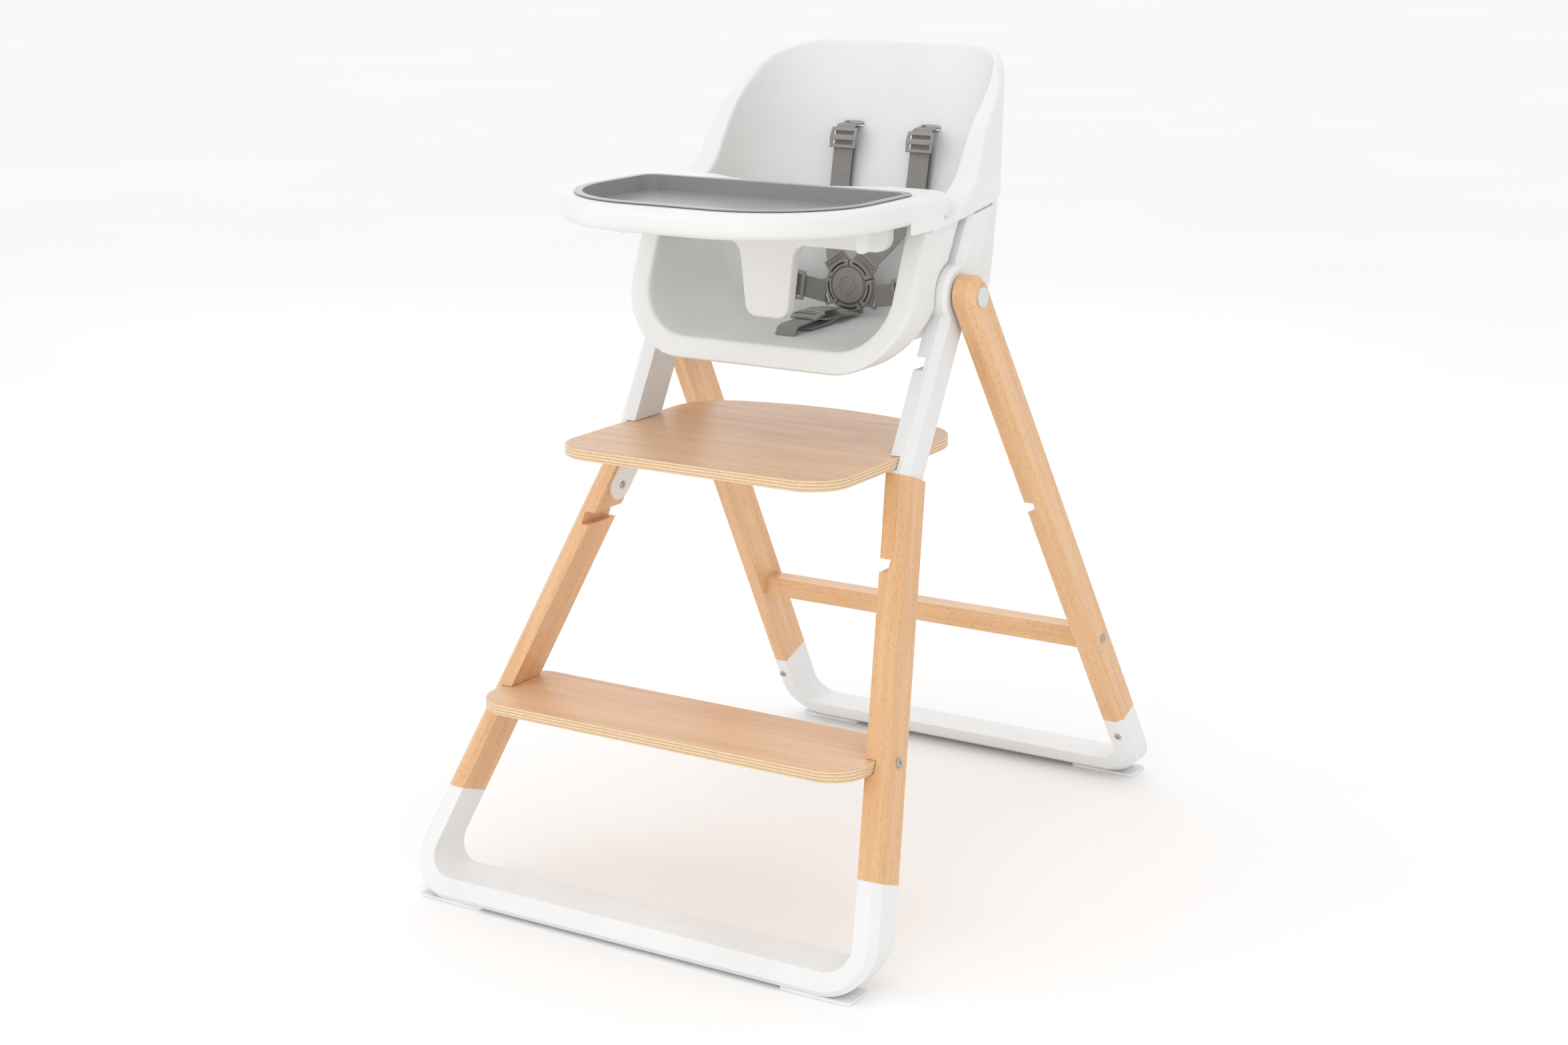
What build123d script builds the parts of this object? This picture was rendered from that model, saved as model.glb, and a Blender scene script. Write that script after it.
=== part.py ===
from build123d import *
import os
from math import cos, radians, sin, sqrt, tan

# Baby high chair: leaning front frame, folding rear frame, moulded seat, tray, two plywood panels.
# Millimetres. X is the width, the chair faces -Y, +Z is up. The origin lies on the floor, midway
# between the two sides and midway between the front of one foot and the back of the other.

# ---------------------------------------------------------------- driving dimensions
# frames
pivot_height = 656.5            # hinge axis of the rear frame above the floor
front_lean = 29.3               # front frame from vertical, degrees
rear_lean = 31.7                # rear frame from vertical, degrees
member_width = 24.0             # legs, arms and foot bars, across the frame
member_depth = 46.0             # the same members, square to the frame
member_chamfer = 8.0            # bevel on the outer edges of every member
arm_gap = 328.0                 # between the inner faces of the arms
front_foot_gap = 556.0          # between the inner faces of the front legs, at the floor
arm_joint_drop = 174.5          # wooden front leg ends and the arm begins, below the hinge axis
rear_foot_gap = 464.0           # between the inner faces of the rear legs, at the floor
front_sleeve_height = 114.0     # where the front foot ends and the leg begins
rear_sleeve_height = 92.0       # where the rear foot ends and the leg begins
joint_slope = 21.0              # slope of the end cuts of the legs, degrees
foot_bar_thickness = 24.0
foot_bend_radius = 28.0         # inside the bend of a foot
arm_top_rise = 82.0             # front edge of the arm's top above the hinge axis
arm_top_slope = 7.0             # the top rises towards the back, degrees
arm_pivot_setback = 15.7        # from the front face of the arm back to the hinge axis
pivot_boss_radius = 33.0        # round boss of the arm about the hinge axis
# joinery
tenon_width = 12.0
tenon_depth = 26.0
front_tenon_length = 62.0
rear_tenon_length = 48.0
arm_tenon_length = 45.0
tongue_length = 78.0            # arm tongue down the inside of the leg
tongue_width = 36.0
tongue_thickness = 4.0
tongue_lap = 3.0                # root of the tongue below the top of the wooden leg
# feet
pad_height = 4.0
pad_length = 84.0
pad_width = 41.0
pad_corner = 6.0
pad_set_back = 2.5              # behind the middle of the foot bar's sole
front_pad_inset = 4.0           # outer end inside the line of the front legs' inner faces
rear_pad_overhang = 7.0         # outer end outside the line of the rear legs' inner faces
# hinge
hinge_gap = 3.0                 # between an arm and a rear leg, at the hinge axis
pin_diameter = 10.0
pin_clearance = 0.05            # radial, between the pin and the rear leg it turns in
washer_thickness = 1.7
washer_diameter = 28.0
cap_diameter = 22.0
cap_height = 2.2
cap_stem = 4.0
pin_wall = 3.0                  # of the arm left beyond the inner end of the pin
pin_end_gap = 1.0               # between the pin and the stem of the cap
# panels
ply_thickness = 12.0
groove_depth = 11.0
upper_panel_drop = 158.5        # top of the upper panel below the hinge axis
upper_panel_front = 147.5       # ahead of the front face of the arm
upper_panel_back = 126.0        # behind the back face of the arm
upper_panel_corner = 45.0
upper_panel_sweep = 38.0        # bow of the back edge
upper_panel_back_corner = 72.0
footrest_top = 219.0
footrest_front = 58.0
footrest_back = 19.0
footrest_corner = 42.0
spare_leg_groove_drop = 261.5   # middle of the unused groove in the leg, below the hinge axis
spare_arm_groove_drop = 67.5    # the same in the arm
rear_groove_drop = 259.5
groove_play = 0.5               # above and below a panel in its groove
edge_play = 0.6                 # between a panel's edge and the bottom of its groove
panel_edge_radius = 1.5
# rail
rail_height = 24.0
rail_depth = 30.0
rail_middle = 210.5             # height of the middle of the rear rail
rail_edge_radius = 3.0
# seat
rim_lap = 14.0                  # front rim of the seat over each arm
seat_rim = 25.0                 # width of the rolled rim
seat_drop = 77.5                # underside of the rim below the hinge axis
seat_thickness = 24.0           # from the underside of the rim to the floor of the seat
seat_corner = 84.0              # lower corners of the rim, seen from the front
seat_body_rise = 13.0           # underside of the body above the bottom of the rim
rim_lean = 22.0                 # front rim from vertical, degrees
rim_ahead = 60.0                # bottom of the rim ahead of the arms
rim_band_gap = 10.0             # between the back of the rim band and the arms
arm_rest_lap = 22.0             # arm rest past the inner face of an arm
arm_rest_rise = 85.5            # above the hinge axis
back_lean = 17.2
back_wall = 13.0
back_rise = 163.0               # top of the back above the arm rests
back_top_corner = 74.0          # upper corners, seen from the front
back_narrowing = 22.0           # top of the back inside the arm rests, each side
body_lap = 30.0                 # body of the seat up inside the wings
back_depth = 175.0              # from the hinge axis to the back, at arm rest height
back_plan_corner = 106.0        # upright rear corners, seen from above
heel_radius = 60.0              # between the seat's underside and its back
wing_curve = ((0.24, 0.2), (0.335, 0.37), (0.455, 0.57), (0.64, 0.77))   # shares of run and rise
wing_gap = 2.0                  # start of the wings ahead of the hinge axis
wing_crest = 24.0               # flat top of the back, from front to back
seat_pin_rise = 43.5            # above the hinge axis
seat_pin_diameter = 8.0
seat_pin_length = 20.0
seat_pin_bite = 7.0             # into the side of the seat
seat_play = 0.6                 # beside the arms
seat_boss_gap = 1.5             # round the bosses of the arms
# tray
tray_lap = 4.0                  # tray past an arm rest
tray_front = 302.0              # ahead of the hinge axis
tray_length = 294.0
tray_height = 27.0
tray_edge_radius = 11.0
tray_front_corner = 150.0
tray_back_corner = 30.0
tray_side_rim = 24.0            # from the side of the tray to its recess
tray_front_rim = 26.0
tray_back_rim = 60.0
recess_corner = 116.0           # front corners of the recess
recess_back_corner = 18.0
belly_radius = 184.0            # hollow in the back edge of the tray
belly_depth = 34.0
tray_floor = 5.0
tray_play = 0.4                 # between the tray and the arm rests
insert_wall = 2.4
insert_play = 0.6
insert_lip = 6.0
insert_lip_thickness = 1.6
insert_depth = 18.0
bridge_drop = 33.0
bridge_gap = 15.0               # from the end of the bridge to the arm
post_thickness = 16.0
post_end_radius = 14.0
post_web_radius = 16.0
post_flare = 9.0
post_width = 52.0
post_gap = 25.0                 # under the post, to the floor of the seat
post_ahead = 90.0               # front of the post ahead of the hinge axis
runner_thickness = 3.0
runner_drop = 9.0
runner_bite = 12.0              # up into the tray
runner_length = 68.0
runner_set_back = 32.0          # ahead of the back of the tray
lever_ahead = 141.0
lever_width = 12.0
lever_drop = 26.0
lever_depth = 9.0
lever_travel = 6.0
lever_play = 0.5
lever_stem_width = 6.0
lever_stem_bite = 3.5           # up into the tray
lever_end_radius = 5.5
# harness
webbing_width = 25.0
webbing_thickness = 1.8
shoulder_spread = 50.0
shoulder_gather = 18.0          # straps from the middle, at the buckle
shoulder_bend_drop = 7.0        # straps leave the back of the seat, below the arm rests
upper_stand_off = 19.0          # straps ahead of the back of the seat, at the slots
lower_stand_off = 10.0          # the same, at the bend
shoulder_slot_rise = 68.0       # above the arm rests
waist_slot_rise = 36.0          # above the floor of the seat
waist_slot_behind = 92.0        # behind the hinge axis
slot_play = 1.5
crotch_slot_ahead = 50.0        # ahead of the hinge axis
buckle_radius = 30.0
buckle_thickness = 13.0
buckle_rise = 36.0              # middle of the buckle above the floor of the seat
buckle_behind = 92.0            # middle of the buckle behind the hinge axis
button_radius = 16.5
button_proud = 2.6
button_travel = 2.0
button_play = 0.35
button_depth = 6.0              # of the well that the button sits in
button_floor_gap = 0.5
hub_wall = 5.0                  # round the button
buckle_plate = 3.0              # thickness of the plate behind the segments
segment_gap = 0.3
segment_half_angle = 33.5
connector_angles = (54, 126, -18, 198)
crotch_segment_angle = -90
connector_reach = 9.0
adjuster_width = 35.0
adjuster_height = 22.0
adjuster_thickness = 7.0
adjuster_play = 0.5
adjuster_edge = 1.2
shoulder_adjuster_drop = 14.0   # below the shoulder slots, along the straps
waist_adjuster_spread = 68.0    # from the middle of the buckle
crotch_adjuster_places = (88.0, 48.0)   # ahead of the buckle
# fasteners
bolt_head_diameter = 11.0
bolt_shank_diameter = 6.0
bolt_length = 46.0
screw_head_diameter = 9.0
screw_shank_diameter = 4.0
screw_length = 14.0
head_height = 2.0
sleeve_screw_length = 30.0
front_screw_share = 0.6         # height of the sleeve screws, as a share of the sleeve's height
rear_screw_share = 0.72
hole_depth_play = 0.5           # beyond the end of a screw or bolt
fit = 0.15                      # beside tenons and shanks inside one rigid frame

# ---------------------------------------------------------------- worked-out sizes
front_tan = tan(radians(front_lean))
rear_tan = tan(radians(rear_lean))
front_run = member_depth / cos(radians(front_lean))     # front member along Y
rear_run = member_depth / cos(radians(rear_lean))
bevel_rise_front = pad_height + member_chamfer * cos(radians(front_lean))
bevel_rise_rear = pad_height + member_chamfer * cos(radians(rear_lean))
reach_front = arm_pivot_setback + front_tan * (pivot_height - bevel_rise_front)
reach_rear = rear_run / 2 + rear_tan * (pivot_height - bevel_rise_rear)
pivot_y = (reach_front - reach_rear) / 2
arm_inner = arm_gap / 2
arm_joint_height = pivot_height - arm_joint_drop
arm_top_height = pivot_height + arm_top_rise
upper_panel_top = pivot_height - upper_panel_drop
spare_groove_heights = (pivot_height - spare_leg_groove_drop, pivot_height - spare_arm_groove_drop)
rear_groove_height = pivot_height - rear_groove_drop
seat_bottom = pivot_height - seat_drop
seat_floor = seat_bottom + seat_thickness
seat_half_width = arm_inner + rim_lap
seat_pin_height = pivot_height + seat_pin_rise
arm_rest_half_width = arm_inner + arm_rest_lap
arm_rest_height = pivot_height + arm_rest_rise
back_half_width = arm_rest_half_width - back_narrowing
back_top = arm_rest_height + back_rise
tray_half_width = arm_rest_half_width + tray_lap
bridge_half_length = arm_inner - bridge_gap
post_bottom = seat_floor + post_gap
shoulder_bend_height = arm_rest_height - shoulder_bend_drop
shoulder_slot_height = arm_rest_height + shoulder_slot_rise
waist_slot_height = seat_floor + waist_slot_rise
buckle_height = seat_floor + buckle_rise
arm_outer = arm_inner + member_width
front_splay = (front_foot_gap / 2 - arm_inner) / arm_joint_height      # X per unit of Z
rear_leg_inner_top = arm_outer + hinge_gap
rear_splay = (rear_foot_gap / 2 - rear_leg_inner_top) / pivot_height


def front_y(z):
    """Y of the front face of the front frame at height z."""
    return pivot_y - arm_pivot_setback + front_tan * (z - pivot_height)


def rear_y(z):
    """Y of the front face of the rear frame at height z."""
    return pivot_y - rear_run / 2 - rear_tan * (z - pivot_height)


def front_inner_x(z):
    """X of the inner face of the right front leg at height z, below the arm joint."""
    return front_foot_gap / 2 - front_splay * z


def rear_inner_x(z):
    """X of the inner face of the right rear leg at height z."""
    return rear_foot_gap / 2 - rear_splay * z


# sloping planes in which the frames are drawn: local x is X, local y runs up the slope
front_plane = Plane(
    origin=(0, front_y(0), 0), x_dir=(1, 0, 0),
    z_dir=(0, -cos(radians(front_lean)), sin(radians(front_lean))))
rear_plane = Plane(
    origin=(0, rear_y(0), 0), x_dir=(1, 0, 0),
    z_dir=(0, -cos(radians(rear_lean)), -sin(radians(rear_lean))))


def up_front(z):
    """Length up the front frame's slope that reaches height z."""
    return z / cos(radians(front_lean))


def up_rear(z):
    """Length up the rear frame's slope that reaches height z."""
    return z / cos(radians(rear_lean))


def across(splay, lean):
    """Horizontal width of a splayed member that is member_width thick."""
    return member_width * sqrt(1 + (splay * cos(radians(lean))) ** 2)


front_across = across(front_splay, front_lean)
rear_across = across(rear_splay, rear_lean)


def mirrored(shape):
    """The same piece on the other side of the chair."""
    return mirror(shape, about=Plane.YZ)


def bevelled(plane, run, outline):
    """A member drawn in a frame's plane and run back along Y, with both outer edges bevelled.

    outline(inset) is the member's face with its outer side moved in by inset.
    """
    bevel_run = member_chamfer * run / member_depth

    def station(depth, inset):
        moved = Plane(
            origin=(0, plane.origin.Y + depth, 0), x_dir=plane.x_dir, z_dir=plane.z_dir)
        return moved * outline(inset)

    front = loft([station(0, member_chamfer), station(bevel_run, 0)], ruled=True)
    middle = extrude(station(bevel_run, 0), amount=run - 2 * bevel_run, dir=(0, 1, 0))
    back = loft([station(run - bevel_run, 0), station(run, member_chamfer)], ruled=True)
    return front + middle + back


def end_cut(y, z, slope):
    """Sloping plane that faces up, through the point y, z; slope drops towards +Y."""
    turn = radians(slope)
    return Plane(origin=(0, y, z), x_dir=(1, 0, 0), z_dir=(0, sin(turn), cos(turn)))


def below(solid, plane):
    """The part of a solid under a plane."""
    return split(solid, bisect_by=plane, keep=Keep.BOTTOM)


def above(solid, plane):
    """The part of a solid over a plane."""
    return split(solid, bisect_by=plane, keep=Keep.TOP)


front_sleeve_cut = end_cut(front_y(front_sleeve_height), front_sleeve_height, joint_slope)
rear_sleeve_cut = end_cut(rear_y(rear_sleeve_height), rear_sleeve_height, -joint_slope)
arm_cut = end_cut(front_y(arm_joint_height), arm_joint_height, joint_slope)
arm_top_cut = end_cut(front_y(arm_top_height), arm_top_height, -arm_top_slope)


# ---------------------------------------------------------------- frame members
def u_foot(plane, run, up, inner_x, width_x, top_z):
    """White U-shaped foot: two upright sleeves joined by a bar on the floor."""
    high = up(top_z)
    lean_cos = 1 / up(1)

    def bent(grow, bottom, radius):
        x_low = inner_x(bottom * lean_cos) + grow
        x_high = inner_x(top_z) + grow
        shape = Polygon(
            (-x_high, high), (-x_low, bottom), (x_low, bottom), (x_high, high), align=None)
        return fillet(shape.vertices().sort_by(Axis.Y)[:2], radius)

    def outline(inset):
        outer = bent(
            width_x - inset, up(pad_height) + inset, foot_bend_radius + member_width - inset)
        return outer - bent(0, up(pad_height + foot_bar_thickness), foot_bend_radius)

    return bevelled(plane, run, outline)


def upright(inner_x, width_x, up, low_z, high_z):
    """Outline function of a straight right-hand member between two heights."""
    def outline(inset):
        return Polygon(
            (inner_x(low_z), up(low_z)),
            (inner_x(low_z) + width_x - inset, up(low_z)),
            (inner_x(high_z) + width_x - inset, up(high_z)),
            (inner_x(high_z), up(high_z)),
            align=None)
    return outline


def tenon(plane, run, up, middle_x, low_z, high_z, grow):
    """Flat tongue in the middle of a right-hand member; grow widens it into its mortise."""
    half = tenon_width / 2 + grow
    face = plane * Polygon(
        (middle_x(low_z) - half, up(low_z)), (middle_x(low_z) + half, up(low_z)),
        (middle_x(high_z) + half, up(high_z)), (middle_x(high_z) - half, up(high_z)),
        align=None)
    depth = tenon_depth + 2 * grow
    return extrude(face, amount=depth, dir=(0, 1, 0)).moved(Pos(0, (run - depth) / 2, 0))


def both(shape):
    """A piece and its mirror image, as one group of two solids."""
    return Compound(children=[shape, mirrored(shape)])


def block(x_range, y_range, z_range):
    """Box from three pairs of limits."""
    size = [high - low for low, high in (x_range, y_range, z_range)]
    middle = [(high + low) / 2 for low, high in (x_range, y_range, z_range)]
    return Pos(*middle) * Box(*size)


def rod(start, direction, length, diameter):
    """Round bar from a point along a direction."""
    return Plane(origin=start, z_dir=direction) * Cylinder(
        diameter / 2, length, align=(Align.CENTER, Align.CENTER, Align.MIN))


def headed(start, direction, shank_length, shank_diameter, head_diameter):
    """Screw or bolt: start is under the head, and the shank runs along direction."""
    shank = rod(start, direction, shank_length, shank_diameter)
    head = rod(start, -direction, head_height, head_diameter)
    return shank + head


def front_middle_x(z):
    """X of the middle of the right front leg."""
    return front_inner_x(z) + front_across / 2


def rear_middle_x(z):
    """X of the middle of the right rear leg."""
    return rear_inner_x(z) + rear_across / 2


def groove(inner_x, panel_top, y_low, y_high):
    """Slot across the inner side of a member for a panel whose top is at panel_top."""
    middle = panel_top - ply_thickness / 2
    return block(
        (0, inner_x(middle) + groove_depth), (y_low, y_high),
        (panel_top - ply_thickness - groove_play, panel_top + groove_play))


parts = {}
deep = 400.0                    # long enough to cut through any piece

# ---------------------------------------------------------------- feet
front_foot = u_foot(
    front_plane, front_run, up_front, front_inner_x, front_across, front_sleeve_height + 40)
front_foot = below(front_foot, front_sleeve_cut)
front_spigot = tenon(
    front_plane, front_run, up_front, front_middle_x, front_sleeve_height - 40,
    front_sleeve_height + front_tenon_length, 0)
front_foot = front_foot + front_spigot + mirrored(front_spigot)

rear_foot = u_foot(
    rear_plane, rear_run, up_rear, rear_inner_x, rear_across, rear_sleeve_height + 40)
rear_foot = below(rear_foot, rear_sleeve_cut)
rear_spigot = tenon(
    rear_plane, rear_run, up_rear, rear_middle_x, rear_sleeve_height - 40,
    rear_sleeve_height + rear_tenon_length, 0)
rear_foot = rear_foot + rear_spigot + mirrored(rear_spigot)


def foot_pad(plane, run, outer_x):
    """Soft pad under the right end of a foot bar."""
    middle_y = plane.origin.Y + plane.y_dir.Y / plane.y_dir.Z * pad_height + run / 2
    pad = Pos(outer_x - pad_length / 2, middle_y + pad_set_back) * RectangleRounded(
        pad_length, pad_width, pad_corner)
    return extrude(pad, amount=pad_height)


front_pad = foot_pad(front_plane, front_run, front_foot_gap / 2 - front_pad_inset)
rear_pad = foot_pad(rear_plane, rear_run, rear_foot_gap / 2 + rear_pad_overhang)

# ---------------------------------------------------------------- wooden legs
front_leg = bevelled(front_plane, front_run, upright(
    front_inner_x, front_across, up_front, front_sleeve_height - 50, arm_joint_height + 50))
front_leg = below(above(front_leg, front_sleeve_cut), arm_cut)
front_leg -= tenon(
    front_plane, front_run, up_front, front_middle_x, front_sleeve_height - 50,
    front_sleeve_height + front_tenon_length + 1, fit)
front_leg -= tenon(
    front_plane, front_run, up_front, front_middle_x, arm_joint_height - arm_tenon_length - 1,
    arm_joint_height + 40, fit)
for panel_top in (footrest_top, spare_groove_heights[0] + ply_thickness / 2):
    front_leg -= groove(front_inner_x, panel_top, -deep, deep)

rear_leg = bevelled(rear_plane, rear_run, upright(
    rear_inner_x, rear_across, up_rear, rear_sleeve_height - 50, pivot_height + 60))
rear_leg = above(rear_leg, rear_sleeve_cut)
rear_leg -= tenon(
    rear_plane, rear_run, up_rear, rear_middle_x, rear_sleeve_height - 50,
    rear_sleeve_height + rear_tenon_length + 1, fit)
rear_leg -= groove(
    rear_inner_x, rear_groove_height + ply_thickness / 2, -deep, deep)
leg_top_plane = Plane(
    origin=(0, pivot_y, pivot_height), x_dir=(1, 0, 0),
    z_dir=(0, -sin(radians(rear_lean)), cos(radians(rear_lean))))
rear_outer_at_axis = rear_inner_x(pivot_height) + rear_across
knob = rod((arm_inner, pivot_y, pivot_height), Vector(1, 0, 0),
           rear_outer_at_axis - arm_inner, member_depth)
knob = chamfer(knob.edges().group_by(Axis.X)[-1], member_chamfer)
rear_leg = below(rear_leg, leg_top_plane) + (above(rear_leg, leg_top_plane) & knob)
axis_point = Vector(0, pivot_y, pivot_height)
rear_leg -= rod(axis_point, Vector(1, 0, 0), deep, pin_diameter + 2 * pin_clearance)

# ---------------------------------------------------------------- arms
arm_cut_low = arm_joint_height - 60


def arm_outline(inset):
    """Right arm in the plane of the front frame."""
    low = up_front(arm_cut_low)
    high = up_front(arm_top_height + 60)
    return Polygon(
        (arm_inner, low), (arm_outer - inset, low), (arm_outer - inset, high), (arm_inner, high),
        align=None)


arm = bevelled(front_plane, front_run, arm_outline)
arm = above(arm, arm_cut)
arm = below(arm, arm_top_cut)
boss = rod(axis_point + Vector(arm_inner, 0, 0), Vector(1, 0, 0), member_width,
           2 * pivot_boss_radius)
arm += chamfer(boss.edges().group_by(Axis.X)[-1], member_chamfer / 2)
arm += tenon(
    front_plane, front_run, up_front, front_middle_x, arm_joint_height - arm_tenon_length,
    arm_joint_height + 20, 0)
lean_axis = Vector(-front_splay, front_tan, 1).normalized()
inward = Vector(-1, 0, -front_splay).normalized()
tongue_base_height = arm_joint_height - tongue_lap
tongue_plane = Plane(
    origin=(front_inner_x(tongue_base_height),
            front_y(tongue_base_height) + front_run / 2, tongue_base_height),
    x_dir=lean_axis, z_dir=inward)
tongue_end = tongue_length - tongue_width / 2
tongue = tongue_plane * (
    Pos(-tongue_end / 2, 0) * Rectangle(tongue_end, tongue_width)
    + Pos(-tongue_end, 0) * Circle(tongue_width / 2))
tongue = extrude(tongue, amount=tongue_thickness)
tongue = tongue & block(
    (0, deep), (-deep, deep), (0, upper_panel_top - ply_thickness - groove_play))
arm += tongue
tongue_screw_spot = tongue_plane * Pos(-tongue_end, 0, tongue_thickness)
tongue_screw_start = tongue_screw_spot.position
arm_screw = headed(
    tongue_screw_start, -inward, screw_length, screw_shank_diameter, screw_head_diameter)
screw_hole = rod(
    tongue_screw_start, -inward, screw_length + hole_depth_play, screw_shank_diameter + 2 * fit)
arm -= screw_hole
front_leg -= screw_hole
for panel_top in (upper_panel_top, spare_groove_heights[1] + ply_thickness / 2):
    arm -= groove(lambda z: arm_inner, panel_top, -deep, deep)
pin_start = arm_inner + pin_wall
pin_end = rear_outer_at_axis - cap_stem - pin_end_gap
arm -= rod(axis_point + Vector(pin_start, 0, 0), Vector(1, 0, 0), deep, pin_diameter + 2 * fit)

# ---------------------------------------------------------------- hinge
pivot_pin = rod(axis_point + Vector(pin_start, 0, 0), Vector(1, 0, 0),
                pin_end - pin_start, pin_diameter)
pivot_washer = rod(axis_point + Vector(arm_outer, 0, 0), Vector(1, 0, 0),
                   washer_thickness, washer_diameter)
pivot_washer -= rod(axis_point, Vector(1, 0, 0), deep, pin_diameter + 2 * fit)
leg_outward = Vector(1, 0, rear_splay).normalized()
cap_seat = Vector(rear_outer_at_axis, pivot_y, pivot_height)
pivot_cap = rod(cap_seat, leg_outward, cap_height, cap_diameter)
pivot_cap = fillet(pivot_cap.edges().group_by(Axis.X)[-1], cap_height / 3)
pivot_cap += rod(cap_seat, -leg_outward, cap_stem - pin_end_gap, pin_diameter - 2 * fit)

# ---------------------------------------------------------------- rear rail
rail_y = rear_y(rail_middle) + rear_run / 2
rail_face = Plane(origin=(0, rail_y - rail_depth / 2, 0), x_dir=(1, 0, 0), z_dir=(0, -1, 0))
rail_low = rail_middle - rail_height / 2
rail_high = rail_middle + rail_height / 2
rear_rail = extrude(rail_face * Polygon(
    (-rear_inner_x(rail_low), rail_low), (rear_inner_x(rail_low), rail_low),
    (rear_inner_x(rail_high), rail_high), (-rear_inner_x(rail_high), rail_high),
    align=None), amount=-rail_depth)
rear_rail = fillet(rear_rail.edges().filter_by(Axis.X), rail_edge_radius)


def cross_bolt(inner_x, width_x, splay, height, y):
    """Bolt from the outer face of a right-hand leg through it into what it holds."""
    inwards = Vector(-1, 0, -splay).normalized()
    start = Vector(inner_x(height) + width_x, y, height)
    bolt = headed(start, inwards, bolt_length, bolt_shank_diameter, bolt_head_diameter)
    hole = rod(start, inwards, bolt_length + hole_depth_play, bolt_shank_diameter + 2 * fit)
    return bolt, hole


rail_bolt, rail_hole = cross_bolt(rear_inner_x, rear_across, rear_splay, rail_middle, rail_y)
rear_leg -= rail_hole
rear_rail = rear_rail - rail_hole - mirrored(rail_hole)

# ---------------------------------------------------------------- plywood panels
footrest_level = footrest_top - ply_thickness / 2
footrest_half = front_inner_x(footrest_level) + groove_depth - edge_play
footrest_low_y = front_y(footrest_top) - footrest_front
footrest_high_y = front_y(footrest_top) + front_run + footrest_back
footrest = Pos(0, (footrest_low_y + footrest_high_y) / 2) * Rectangle(
    2 * footrest_half, footrest_high_y - footrest_low_y)
footrest = fillet(footrest.vertices().sort_by(Axis.Y)[:2], footrest_corner)
footrest = fillet(footrest.vertices().sort_by(Axis.Y)[-2:], footrest_back - 1)
footrest = extrude(
    Pos(0, 0, footrest_top - ply_thickness) * footrest, amount=ply_thickness)
footrest = fillet(footrest.edges().filter_by(Axis.Z, reverse=True), panel_edge_radius)
footrest_bolt, footrest_hole = cross_bolt(
    front_inner_x, front_across, front_splay, footrest_level,
    front_y(footrest_level) + front_run / 2)
front_leg -= footrest_hole
footrest = footrest - footrest_hole - mirrored(footrest_hole)

panel_half = arm_inner + groove_depth - edge_play
panel_low_y = front_y(upper_panel_top) - upper_panel_front
panel_high_y = front_y(upper_panel_top) + front_run + upper_panel_back
panel_shoulder_y = panel_high_y - upper_panel_sweep
panel_outline = make_face([
    Line((-panel_half, panel_shoulder_y), (-panel_half, panel_low_y)),
    Line((-panel_half, panel_low_y), (panel_half, panel_low_y)),
    Line((panel_half, panel_low_y), (panel_half, panel_shoulder_y)),
    ThreePointArc(
        (panel_half, panel_shoulder_y), (0, panel_high_y), (-panel_half, panel_shoulder_y))])
panel_outline = fillet(panel_outline.vertices().sort_by(Axis.Y)[:2], upper_panel_corner)
panel_outline = fillet(
    panel_outline.vertices().sort_by(Axis.Y)[-2:], upper_panel_back_corner)
upper_panel = extrude(
    Pos(0, 0, upper_panel_top - ply_thickness) * panel_outline, amount=ply_thickness)
upper_panel = fillet(upper_panel.edges().filter_by(Axis.Z, reverse=True), panel_edge_radius)

# ---------------------------------------------------------------- sleeve screws
def sleeve_screw(middle_x, face_y, height, direction):
    """Screw through a foot's sleeve and its spigot, and the hole that it sits in."""
    start = Vector(middle_x(height), face_y(height), height)
    turned = direction.normalized()
    screw = headed(
        start, turned, sleeve_screw_length, screw_shank_diameter, screw_head_diameter)
    hole = rod(
        start, turned, sleeve_screw_length + hole_depth_play, screw_shank_diameter + 2 * fit)
    return screw, hole


front_sleeve_screw, front_screw_hole = sleeve_screw(
    front_middle_x, lambda z: front_y(z) + front_run, front_sleeve_height * front_screw_share,
    Vector(0, -cos(radians(front_lean)), sin(radians(front_lean))))
rear_sleeve_screw, rear_screw_hole = sleeve_screw(
    rear_middle_x, rear_y, rear_sleeve_height * rear_screw_share,
    Vector(0, cos(radians(rear_lean)), sin(radians(rear_lean))))
front_foot = front_foot - front_screw_hole - mirrored(front_screw_hole)
rear_foot = rear_foot - rear_screw_hole - mirrored(rear_screw_hole)

# ---------------------------------------------------------------- seat
rim_tan = tan(radians(rim_lean))
back_tan = tan(radians(back_lean))


def rim_y(z):
    """Y of the front face of the seat's rim at height z."""
    return front_y(seat_bottom) - rim_ahead + rim_tan * (z - seat_bottom)


def back_y(z):
    """Y of the rear face of the seat's back at height z."""
    return pivot_y + back_depth + back_tan * (z - arm_rest_height)


def from_front(face):
    """Run a face drawn in X and Z right through the chair along Y."""
    plane = Plane(origin=(0, deep, 0), x_dir=(1, 0, 0), z_dir=(0, -1, 0))
    return extrude(plane * face, amount=2 * deep)


def from_side(face):
    """Run a face drawn in Y and Z right through the chair along X."""
    plane = Plane(origin=(-deep, 0, 0), x_dir=(0, 1, 0), z_dir=(1, 0, 0))
    return extrude(plane * face, amount=2 * deep)


def trough(half_width, low, high, corner):
    """Upright rectangle with rounded lower corners, in X and Z."""
    face = Polygon(
        (-half_width, high), (-half_width, low), (half_width, low), (half_width, high),
        align=None)
    return fillet(face.vertices().sort_by(Axis.Y)[:2], corner)


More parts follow.
